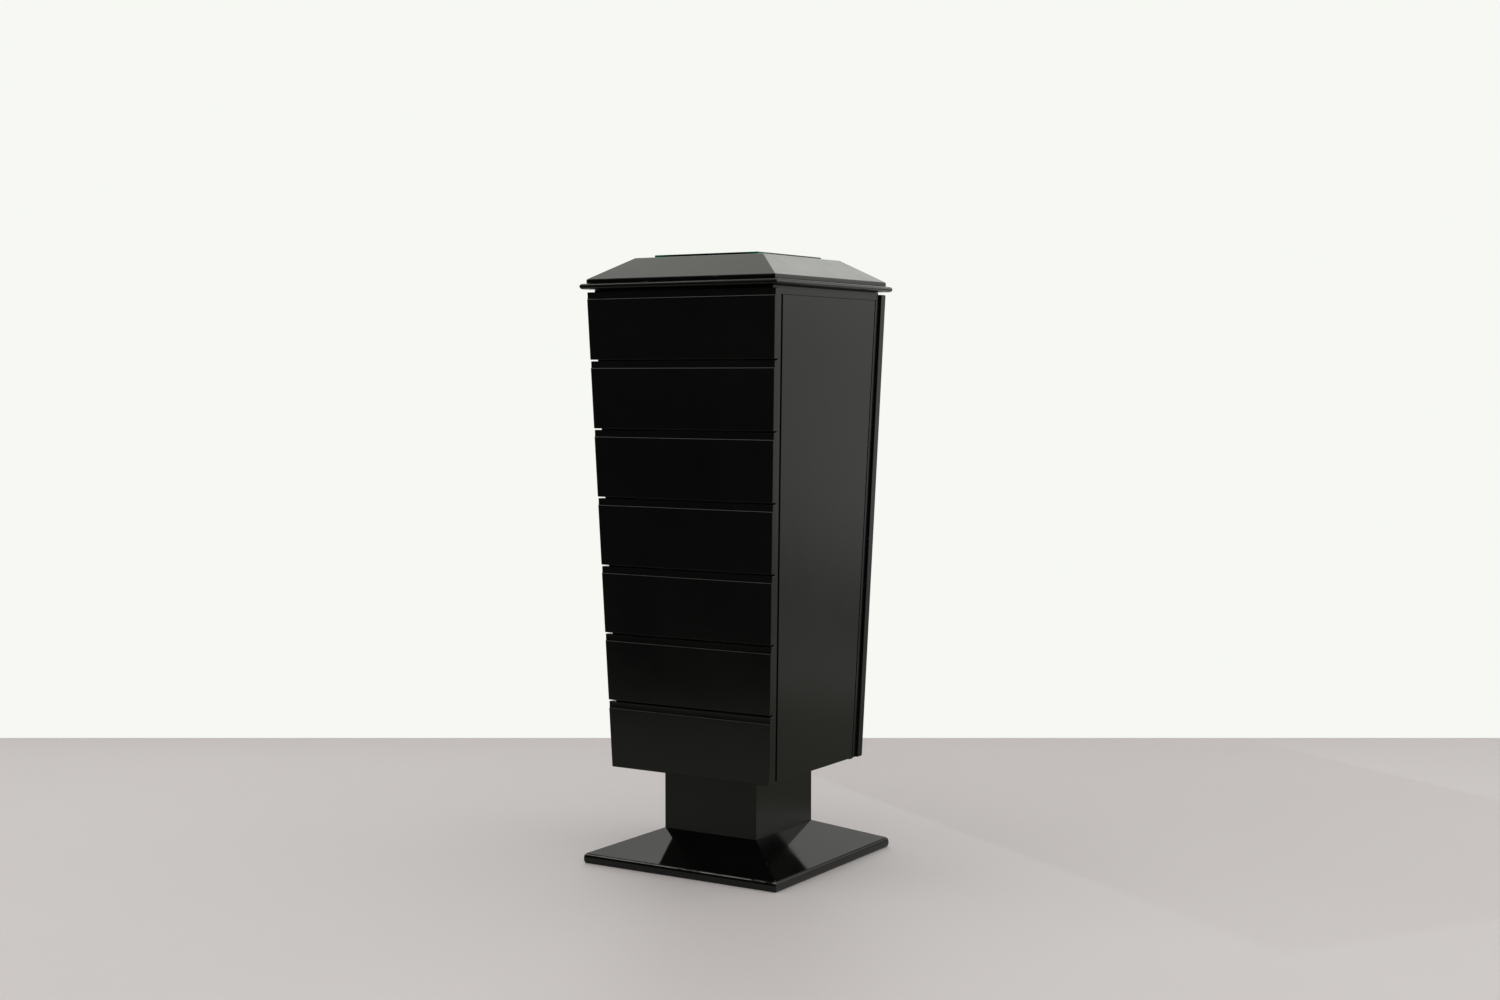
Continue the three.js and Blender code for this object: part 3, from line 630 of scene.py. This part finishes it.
def between(work, lower, upper, finish):
    """A closed block between a lower and an upper outline of four corners, given anticlockwise."""
    base = [work.verts.new(corner) for corner in lower]
    top = [work.verts.new(corner) for corner in upper]
    faces = [work.faces.new(base[::-1]), work.faces.new(top)]
    for i in range(4):
        j = (i + 1) % 4
        faces.append(work.faces.new((base[i], base[j], top[j], top[i])))
    for face in faces:
        face.material_index = finish


def block(work, x0, x1, y0, y1, z0, z1, finish=0, lean=0.0):
    """A block with upright sides, whose front and back lean forward by lean for each metre up."""
    shift = (z1 - z0) * lean
    lower = [(x0, y0, z0), (x1, y0, z0), (x1, y1, z0), (x0, y1, z0)]
    upper = [(x0, y0 - shift, z1), (x1, y0 - shift, z1), (x1, y1 - shift, z1), (x0, y1 - shift, z1)]
    between(work, lower, upper, finish)


def made_from(work, name, finishes, body, replaced=(), ease=0.0):
    """Turns finished mesh work into a piece on a body, with its sharp edges eased if asked."""
    mesh = bpy.data.meshes.new(name)
    work.to_mesh(mesh)
    work.free()
    put_right(mesh)
    for finish in finishes:
        mesh.materials.append(finish)
    piece = placed(name, mesh)
    if ease:
        rounding = piece.modifiers.new("eased edges", "BEVEL")
        rounding.width = ease
        rounding.segments = 2
        rounding.limit_method = "ANGLE"
        rounding.angle_limit = radians(BOX_EDGES_OVER)
    if replaced:
        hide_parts(*replaced)
    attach(piece, body)
    return piece


def drawer_box(number):
    """Two sides, a front, a back and a bottom, with the boards' fingers showing at the corners."""
    low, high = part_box(f"drawer_{number}_box")
    lean_in = (high.z - low.z) * FRONT_LEAN
    front = low.y + lean_in
    inner_x, inner_back, inner_front = high.x - BOX_WALL, high.y - BOX_WALL, front + BOX_WALL
    work = bmesh.new()
    for side in (-1, 1):
        x0, x1 = sorted((side * inner_x, side * high.x))
        lower = [(x0, inner_front, low.z), (x1, inner_front, low.z),
                 (x1, inner_back, low.z), (x0, inner_back, low.z)]
        upper = [(x0, inner_front - lean_in, high.z), (x1, inner_front - lean_in, high.z),
                 (x1, inner_back, high.z), (x0, inner_back, high.z)]
        between(work, lower, upper, 1)
        for k in range(FINGERS):
            z0 = low.z + (high.z - low.z) * k / FINGERS
            z1 = low.z + (high.z - low.z) * (k + 1) / FINGERS
            at_front = front - (z0 - low.z) * FRONT_LEAN
            block(work, x0, x1, at_front, at_front + BOX_WALL, z0, z1, k % 2, FRONT_LEAN)
            block(work, x0, x1, inner_back, high.y, z0, z1, k % 2)
    block(work, -inner_x, inner_x, front, inner_front, low.z, high.z, 0, FRONT_LEAN)
    block(work, -inner_x, inner_x, inner_back, high.y, low.z, high.z)
    floor_lean = BOX_FLOOR * FRONT_LEAN
    lower = [(-inner_x, inner_front, low.z), (inner_x, inner_front, low.z),
             (inner_x, inner_back, low.z), (-inner_x, inner_back, low.z)]
    upper = [(x, y - floor_lean * (y < 0), z + BOX_FLOOR) for x, y, z in lower]
    between(work, lower, upper, 0)
    made_from(work, f"drawer_{number}_jointed_box", (wood_across, wood_deep),
              f"drawer_{number}", [f"drawer_{number}_box"], BOX_EASE)
    return low, high, front


def crowned_pad(name, x0, x1, y0, y1, z, thick, body):
    """A thin lining pad: flat underneath, crowned on top, with sides that pull in between its corners."""
    work = bmesh.new()
    grid = []
    for j in range(PAD_STEPS + 1):
        row = []
        for i in range(PAD_STEPS + 1):
            u, v = i / PAD_STEPS * 2 - 1, j / PAD_STEPS * 2 - 1
            x = (x0 + x1) / 2 + u * ((x1 - x0) / 2 - PAD_PULL * (1 - v * v))
            y = (y0 + y1) / 2 + v * ((y1 - y0) / 2 - PAD_PULL * (1 - u * u))
            crown = (1 - abs(u) ** PAD_FLATNESS) * (1 - abs(v) ** PAD_FLATNESS)
            rise = PAD_RIM + (1 - PAD_RIM) * sqrt(max(crown, 0))
            row.append(work.verts.new((x, y, z + thick * rise)))
        grid.append(row)
    padding_under(work, grid, z)
    pad = made_from(work, name, (velvet,), body)
    put_right(pad.data, CLOTH_EDGES)


def tree_with(name, sizes):
    """A Geometry Nodes tree with a named input for each size, given as (label, socket type, value)."""
    tree = bpy.data.node_groups.new(name, "GeometryNodeTree")
    tree.interface.new_socket("Geometry", in_out="INPUT", socket_type="NodeSocketGeometry")
    tree.interface.new_socket("Geometry", in_out="OUTPUT", socket_type="NodeSocketGeometry")
    for label, kind, value in sizes:
        tree.interface.new_socket(label, in_out="INPUT", socket_type=kind).default_value = value
    return tree, tree.nodes.new("NodeGroupInput"), tree.nodes.new("NodeGroupOutput")


def grown(name, tree, seeds, sizes, body):
    """The plain mesh that a tree makes from a seed mesh, with its inputs set, as a piece on a body."""
    piece = placed(name, seeds)
    modifier = piece.modifiers.new(name, "NODES")
    modifier.node_group = tree
    for socket in tree.interface.items_tree:
        if socket.in_out == "INPUT" and socket.name in sizes:
            modifier[socket.identifier] = sizes[socket.name]
    evaluated = piece.evaluated_get(bpy.context.evaluated_depsgraph_get())
    mesh = bpy.data.meshes.new_from_object(evaluated)
    piece.modifiers.remove(modifier)
    piece.data = mesh
    put_right(mesh)
    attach(piece, body)


def metal(name, colour, dull, smoothest, roughest):
    """A solid metal with tarnish in patches and fine scratches."""
    material, nodes, links, shader = material_with(name)
    tarnish = spread(nodes, links, patches(nodes, links, 40.0, 5.0, 0.65), 0.4, 0.7, 0, 1)
    links.new(blended(nodes, links, tarnish, colour, dull), shader.inputs["Base Color"])
    handled = patches(nodes, links, 120.0, 5.0, 0.7)
    links.new(spread(nodes, links, handled, 0.3, 0.7, smoothest, roughest), shader.inputs["Roughness"])
    shader.inputs["Metallic"].default_value = 1
    relief(nodes, links, shader, patches(nodes, links, 900.0, 3.0, 0.7, (0.08, 1, 1)), 0.04, 0.0001)
    return material


def ended(tree, given, result, instances):
    """The end of a tree: real geometry in place of its instances, in the metal given."""
    real = tree.nodes.new("GeometryNodeRealizeInstances")
    tree.links.new(instances, real.inputs[0])
    plated = tree.nodes.new("GeometryNodeSetMaterial")
    tree.links.new(real.outputs[0], plated.inputs["Geometry"])
    tree.links.new(given.outputs["Metal"], plated.inputs["Material"])
    tree.links.new(plated.outputs[0], result.inputs[0])


brass = metal("brass", BRASS, BRASS_DULL, 0.20, 0.34)
steel = metal("plated steel", STEEL, STEEL_DULL, 0.18, 0.36)

screws, given, result = tree_with("slotted screws", [
    ("Head", "NodeSocketFloat", SCREW_HEAD), ("Proud", "NodeSocketFloat", SCREW_PROUD),
    ("Slot", "NodeSocketFloat", SCREW_SLOT), ("Seed", "NodeSocketInt", 3),
    ("Metal", "NodeSocketMaterial", brass),
])
nodes, links = screws.nodes, screws.links
head = nodes.new("GeometryNodeMeshCone")
head.inputs["Vertices"].default_value = SCREW_SIDES
crown = worked_out(nodes, links, "MULTIPLY", given.outputs["Head"], SCREW_CROWN)
links.new(crown, head.inputs["Radius Top"])
links.new(given.outputs["Head"], head.inputs["Radius Bottom"])
links.new(given.outputs["Proud"], head.inputs["Depth"])
cutter_size = nodes.new("ShaderNodeCombineXYZ")
cutter_length = worked_out(nodes, links, "MULTIPLY", given.outputs["Head"], SLOT_REACH)
links.new(cutter_length, cutter_size.inputs["X"])
links.new(given.outputs["Slot"], cutter_size.inputs["Y"])
links.new(given.outputs["Proud"], cutter_size.inputs["Z"])
cutter = nodes.new("GeometryNodeMeshCube")
links.new(cutter_size.outputs[0], cutter.inputs["Size"])
lift = nodes.new("ShaderNodeCombineXYZ")
links.new(given.outputs["Proud"], lift.inputs["Z"])
raised = nodes.new("GeometryNodeTransform")
links.new(cutter.outputs["Mesh"], raised.inputs["Geometry"])
links.new(lift.outputs[0], raised.inputs["Translation"])
slotted = nodes.new("GeometryNodeMeshBoolean")
slotted.operation = "DIFFERENCE"
slotted.solver = "EXACT"
links.new(head.outputs["Mesh"], slotted.inputs[0])
links.new(raised.outputs["Geometry"], slotted.inputs[1])
facing = nodes.new("GeometryNodeInputNamedAttribute")
facing.data_type = "FLOAT_VECTOR"
facing.inputs["Name"].default_value = "facing"
turned = nodes.new("FunctionNodeAlignRotationToVector")
turned.axis = "Z"
links.new(facing.outputs["Attribute"], turned.inputs["Vector"])
spin = nodes.new("FunctionNodeRandomValue")
spin.data_type = "FLOAT"
spin.inputs[3].default_value = pi
links.new(given.outputs["Seed"], spin.inputs["Seed"])
about = nodes.new("FunctionNodeAxisAngleToRotation")
about.inputs["Axis"].default_value = (0, 0, 1)
links.new(spin.outputs[1], about.inputs["Angle"])
twisted = nodes.new("FunctionNodeRotateRotation")
twisted.rotation_space = "LOCAL"
links.new(turned.outputs[0], twisted.inputs[0])
links.new(about.outputs[0], twisted.inputs[1])
set_in = nodes.new("GeometryNodeInstanceOnPoints")
links.new(given.outputs["Geometry"], set_in.inputs["Points"])
links.new(slotted.outputs["Mesh"], set_in.inputs["Instance"])
links.new(twisted.outputs[0], set_in.inputs["Rotation"])
ended(screws, given, result, set_in.outputs[0])


def screws_at(name, places, body, sizes):
    """Slotted brass screws on a body; places are (point, the direction that the head faces)."""
    seeds = bpy.data.meshes.new(name)
    seeds.from_pydata([point for point, _ in places], [], [])
    directions = seeds.attributes.new("facing", "FLOAT_VECTOR", "POINT")
    directions.data.foreach_set("vector", [value for _, direction in places for value in direction])
    grown(name, screws, seeds, sizes, body)


# Painted highlight: the forward-facing faces of the rounded arris under each rebate are coloured pale grey,
# stronger towards the top and broken into dashes, in place of the light that they catch.
rebate_painted_highlight, nodes, links, shader = material_with("lacquer rubbed grey along the rebates")
dashes = patches(nodes, links, 90.0, 5.0, 0.7, (0.2, 1, 1))
highlight_share = worked_out(nodes, links, "MULTIPLY",
                  spread(nodes, links, own_axes(nodes, links)["Z"], 0.25, 1.15, 0.30, 1.0),
                  spread(nodes, links, dashes, 0.30, 0.44, 0.55, 1.0))
links.new(blended(nodes, links, highlight_share, SATIN_BLACK, REBATE_HIGHLIGHT_GREY), shader.inputs["Base Color"])
links.new(spread(nodes, links, dashes, 0.30, 0.60, 0.24, 0.38), shader.inputs["Roughness"])
shader.inputs["Specular IOR Level"].default_value = SATIN_SPECULAR

for number in range(1, DRAWERS + 1):
    body = f"drawer_{number}"
    front_piece = eased(f"drawer_{number}_front", FRONT_EASE, satin, satin_arris, steps=4)
    front_piece.data.materials.append(rebate_painted_highlight)
    arris_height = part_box(f"drawer_{number}_front")[1].z - REBATE_HEIGHT
    # The forward-facing arris faces at the rebate's height take the painted highlight.
    for face in front_piece.data.polygons:
        on_arris = face.material_index == 1 and abs(face.center.z - arris_height) < REBATE_BAND
        if on_arris and abs(face.normal.x) < FACING:
            face.material_index = 2
    low, high, front = drawer_box(number)
    pad_floor = low.z + BOX_FLOOR + LINING_CLEAR
    inner_x = high.x - BOX_WALL - LINING_CLEAR
    inner_front = front + BOX_WALL + LINING_CLEAR
    inner_back = high.y - BOX_WALL - LINING_CLEAR
    places = []
    for down in SCREW_DOWN:
        z = high.z - down
        y = front + BOX_WALL - (z - low.z) * FRONT_LEAN
        places += [((side * (inner_x - SCREW_IN), y, z), (0, 1, FRONT_LEAN)) for side in (-1, 1)]
    screws_at(f"drawer_{number}_screws", places, body, {"Seed": number})
    if number > FITTED_DRAWERS:
        crowned_pad(f"drawer_{number}_lining", -inner_x, inner_x, inner_front, inner_back,
                    pad_floor, LINING_THICK, body)

sewn_rolls("drawer_1_ring_rolls", "drawer_1_insert", DRAWER_ROLLS)
for number, columns, rows in DRAWER_CELLS:
    eased(f"drawer_{number}_insert", DIVIDER_EASE, velvet, velvet, steps=4)
    low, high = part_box(f"drawer_{number}_insert")
    wide, deep = (high.x - low.x) / columns, (high.y - low.y) / rows
    for i in range(columns):
        for j in range(rows):
            x0, y0 = low.x + i * wide + CELL_MARGIN, low.y + j * deep + CELL_MARGIN
            x1, y1 = x0 + wide - 2 * CELL_MARGIN, y0 + deep - 2 * CELL_MARGIN
            crowned_pad(f"drawer_{number}_cell_pad_{i + 1}_{j + 1}", x0, x1, y0, y1,
                        low.z + CELL_FLOOR, LINING_THICK, f"drawer_{number}")

# ---------------------------------------------------------------------------------------------------
# Side doors: tall lacquered boards between the stiles, bevelled inside their front edge for the fingers.
# Each turns on two blackened steel pins and closes against a magnetic catch with two steel poles.
DOOR_EASE = 0.0008
PLATE_EASE = 0.0003
CATCH_EASE = 0.0008
CATCH_BROWN = (0.022, 0.014, 0.010)
CATCH_PALER = (0.034, 0.022, 0.016)
CATCH_ROUGHNESS = 0.45
POLE_PROUD = 0.00012
POLE_THICK = 0.003
POLE_MARGIN = 0.004
BLACK_STEEL = (0.045, 0.045, 0.048)
BLACK_STEEL_DULL = (0.018, 0.017, 0.016)

catch_case, nodes, links, shader = material_with("moulded catch case")
moulded = patches(nodes, links, 300.0, 3.0)
links.new(blended(nodes, links, moulded, CATCH_BROWN, CATCH_PALER), shader.inputs["Base Color"])
shader.inputs["Roughness"].default_value = CATCH_ROUGHNESS
relief(nodes, links, shader, patches(nodes, links, 2500.0, 2.0), 0.2, 0.0001)

blackened = metal("blackened steel", BLACK_STEEL, BLACK_STEEL_DULL, 0.32, 0.5)

for side, turn in (("left", -1), ("right", 1)):
    eased("side_door_" + side, DOOR_EASE, satin, satin_arris)
    eased("door_pivot_bottom_" + side, PLATE_EASE, blackened, blackened)
    eased("door_pivot_top_" + side, 0.0, blackened, blackened)
    eased("door_catch_" + side, CATCH_EASE, catch_case, catch_case)
    low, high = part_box("door_catch_" + side)
    outer = high.x if turn > 0 else low.x
    slope = FRONT_LEAN * (high.z - low.z)
    work = bmesh.new()
    for y in (low.y + POLE_MARGIN + slope, high.y - POLE_MARGIN - POLE_THICK):
        z0, z1 = low.z + POLE_MARGIN, high.z - POLE_MARGIN
        outlines = []
        for z in (z0, z1):
            reach = outer - turn * (high.z - z) * FRONT_LEAN
            x0, x1 = sorted((reach + turn * POLE_PROUD, reach - turn * POLE_THICK))
            outlines.append([(x0, y, z), (x1, y, z), (x1, y + POLE_THICK, z), (x0, y + POLE_THICK, z)])
        between(work, *outlines, 0)
    made_from(work, "door_catch_poles_" + side, (steel,), "cabinet")

# ---------------------------------------------------------------------------------------------------
# Necklace rails: a brass bar in the compartment behind each side door, screwed to the inner wall, with
# seven hooks bent from wire and finished with a ball so that chains don't slip off.
RAIL_THICK = 0.008
RAIL_TALL = 0.018
RAIL_EASE = 0.0007
RAIL_SCREW = 0.0032
RAIL_SCREW_PROUD = 0.0009
HOOKS = 7
HOOK_WIRE = 0.0013
HOOK_BALL = 0.0021
HOOK_REACH = 0.0118
HOOK_RISE = 0.0085
HOOK_ROOT = 0.0004
HOOK_DROP = 0.001
BEND_STEPS = 14
WIRE_SIDES = 10
BALL_SIDES = 14
BALL_RINGS = 9

hooks, given, result = tree_with("bent hooks", [
    ("Count", "NodeSocketInt", HOOKS), ("Start", "NodeSocketVector", (0, 0, 0)),
    ("Step", "NodeSocketFloat", 0.03), ("Reach", "NodeSocketFloat", HOOK_REACH),
    ("Rise", "NodeSocketFloat", HOOK_RISE), ("Wire", "NodeSocketFloat", HOOK_WIRE),
    ("Ball", "NodeSocketFloat", HOOK_BALL), ("Metal", "NodeSocketMaterial", brass),
])
nodes, links = hooks.nodes, hooks.links


def corner(out_share, up_share):
    """A point of the bend, as shares of the hook's reach and rise."""
    point = nodes.new("ShaderNodeCombineXYZ")
    for axis, size, share in (("X", "Reach", out_share), ("Z", "Rise", up_share)):
        links.new(worked_out(nodes, links, "MULTIPLY", given.outputs[size], share), point.inputs[axis])
    return point.outputs[0]


bend = nodes.new("GeometryNodeCurvePrimitiveBezierSegment")
bend.inputs["Resolution"].default_value = BEND_STEPS
links.new(corner(0, 0), bend.inputs["Start"])
links.new(corner(0.85, -0.55), bend.inputs["Start Handle"])
links.new(corner(1.05, 0.1), bend.inputs["End Handle"])
links.new(corner(1, 1), bend.inputs["End"])
section = nodes.new("GeometryNodeCurvePrimitiveCircle")
section.inputs["Resolution"].default_value = WIRE_SIDES
links.new(given.outputs["Wire"], section.inputs["Radius"])
wire = nodes.new("GeometryNodeCurveToMesh")
wire.inputs["Fill Caps"].default_value = True
links.new(bend.outputs[0], wire.inputs["Curve"])
links.new(section.outputs[0], wire.inputs["Profile Curve"])
ball = nodes.new("GeometryNodeMeshUVSphere")
ball.inputs["Segments"].default_value = BALL_SIDES
ball.inputs["Rings"].default_value = BALL_RINGS
links.new(given.outputs["Ball"], ball.inputs["Radius"])
tip = nodes.new("GeometryNodeTransform")
links.new(ball.outputs["Mesh"], tip.inputs["Geometry"])
links.new(corner(1, 1), tip.inputs["Translation"])
one_hook = nodes.new("GeometryNodeJoinGeometry")
links.new(wire.outputs[0], one_hook.inputs[0])
links.new(tip.outputs[0], one_hook.inputs[0])
pitch = nodes.new("ShaderNodeCombineXYZ")
links.new(given.outputs["Step"], pitch.inputs["Y"])
row = nodes.new("GeometryNodeMeshLine")
links.new(given.outputs["Count"], row.inputs["Count"])
links.new(given.outputs["Start"], row.inputs["Start Location"])
links.new(pitch.outputs[0], row.inputs["Offset"])
hung = nodes.new("GeometryNodeInstanceOnPoints")
links.new(row.outputs["Mesh"], hung.inputs["Points"])
links.new(one_hook.outputs[0], hung.inputs["Instance"])
ended(hooks, given, result, hung.outputs[0])

rail_screws = []
for side, turn in (("left", -1), ("right", 1)):
    low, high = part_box("hook_rail_" + side)
    wall_face = low.x if turn > 0 else high.x
    x0, x1 = sorted((wall_face, wall_face + turn * RAIL_THICK))
    work = bmesh.new()
    block(work, x0, x1, low.y, high.y, low.z, low.z + RAIL_TALL)
    made_from(work, "necklace_rail_" + side, (brass,), "cabinet", ["hook_rail_" + side], RAIL_EASE)
    step = (high.y - low.y) / HOOKS
    start = (wall_face + turn * (RAIL_THICK - HOOK_ROOT), low.y + step / 2,
             low.z + RAIL_TALL / 2 - HOOK_DROP)
    grown("necklace_hooks_" + side, hooks, bpy.data.meshes.new("row of hooks"),
          {"Start": start, "Step": step, "Reach": turn * HOOK_REACH}, "cabinet")
    for y in (low.y + step, high.y - step):
        rail_screws.append(((wall_face + turn * RAIL_THICK, y, low.z + RAIL_TALL / 2), (turn, 0, 0)))

# ---------------------------------------------------------------------------------------------------
# Lid: a square polished band under a hipped shell of mitred satin boards, with a slab of black-backed glass
# lying on its flat and a mirror fixed inside. A long brass hinge joins it to the rim at the rear.
LID_EASE = 0.0009
GLASS_EASE = 0.0007
GLASS_IOR = 1.52
GLASS_BLACK = (0.0012, 0.0022, 0.0018)
GLASS_GREENER = (0.0022, 0.0036, 0.0030)
GLINT_FROM = 0.215
GLINT_FULL = 0.252
EDGE_DARK = (0.002, 0.010, 0.008)
EDGE_GREEN = (0.003, 0.018, 0.014)
EDGE_PAINTED_GLINT = (0.012, 0.150, 0.115)
SILVER_DULL = (0.80, 0.83, 0.82)
SILVER = (0.86, 0.88, 0.87)
MIRROR_BEVEL = 0.0016
LEAF_SCREW = 0.0030
LEAF_PROUD = 0.00012
LEAF_SLOT = 0.0007
LEAF_SCREWS = 6
LEAF_MIDDLE = 0.011
LEAF_REACH = 0.18

eased("lid_band", LID_EASE, gloss, gloss_arris)
eased("lid_hip", LID_EASE, satin, satin_arris, over=HIP_EDGES_OVER)

black_glass, nodes, links, shader = material_with("black-backed glass")
depth = patches(nodes, links, 12.0, 4.0)
links.new(blended(nodes, links, depth, GLASS_BLACK, GLASS_GREENER), shader.inputs["Base Color"])
wiped = patches(nodes, links, 30.0, 6.0, 0.7)
links.new(spread(nodes, links, wiped, 0.5, 0.8, 0.015, 0.06), shader.inputs["Roughness"])
shader.inputs["IOR"].default_value = GLASS_IOR

# The edge is a dark green with random patches. Near each corner it turns bright teal, a painted glint in
# place of light seen through the glass from the side.
green_edge_and_glint, nodes, links, shader = material_with("green edge of the glass")
place = own_axes(nodes, links)
away = [worked_out(nodes, links, "ABSOLUTE", place[axis]) for axis in ("X", "Y")]
painted_glint_share = spread(nodes, links, worked_out(nodes, links, "ADD", *away), GLINT_FROM, GLINT_FULL, 0, 1)
deep_green = blended(nodes, links, patches(nodes, links, 60.0, 4.0), EDGE_DARK, EDGE_GREEN)
links.new(blended(nodes, links, painted_glint_share, deep_green, EDGE_PAINTED_GLINT), shader.inputs["Base Color"])
ground = patches(nodes, links, 500.0, 3.0)
links.new(spread(nodes, links, ground, 0.3, 0.7, 0.06, 0.22), shader.inputs["Roughness"])
slab = eased("lid_slab", GLASS_EASE, black_glass, green_edge_and_glint)
for face in slab.data.polygons:
    if abs(face.normal.z) < FACING:
        face.material_index = 1

silvering, nodes, links, shader = material_with("silvered mirror")
aged = patches(nodes, links, 6.0, 5.0, 0.7)
links.new(blended(nodes, links, aged, SILVER_DULL, SILVER), shader.inputs["Base Color"])
wiped = patches(nodes, links, 35.0, 6.0, 0.7)
links.new(spread(nodes, links, wiped, 0.55, 0.85, 0.01, 0.07), shader.inputs["Roughness"])
shader.inputs["Metallic"].default_value = 1
# The mirror's bevelled edge takes the same green, with the painted glint at its corners.
eased("lid_mirror", MIRROR_BEVEL, silvering, green_edge_and_glint, steps=1)

for piece in ("rim_leaf", "lid_leaf", "pin"):
    eased("lid_hinge_" + piece, 0.0, brass, brass)
pin_low, pin_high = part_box("lid_hinge_pin")
leaf_line = (pin_low.y + pin_high.y) / 2 - LEAF_MIDDLE
rim_leaf_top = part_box("rim_moulding")[1].z
lid_leaf_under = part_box("lid_band")[0].z
along = [(i / (LEAF_SCREWS - 1) * 2 - 1) * LEAF_REACH for i in range(LEAF_SCREWS)]
leaf_sizes = {"Head": LEAF_SCREW, "Proud": LEAF_PROUD, "Slot": LEAF_SLOT}
rim_places = [((x, leaf_line, rim_leaf_top), (0, 0, 1)) for x in along]
lid_places = [((x, leaf_line, lid_leaf_under), (0, 0, -1)) for x in along]
screws_at("hinge_screws_rim", rim_places, "cabinet", leaf_sizes)
screws_at("hinge_screws_lid", lid_places, "lid", leaf_sizes)
screws_at("rail_screws", rail_screws, "cabinet", {"Head": RAIL_SCREW, "Proud": RAIL_SCREW_PROUD})

low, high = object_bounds()
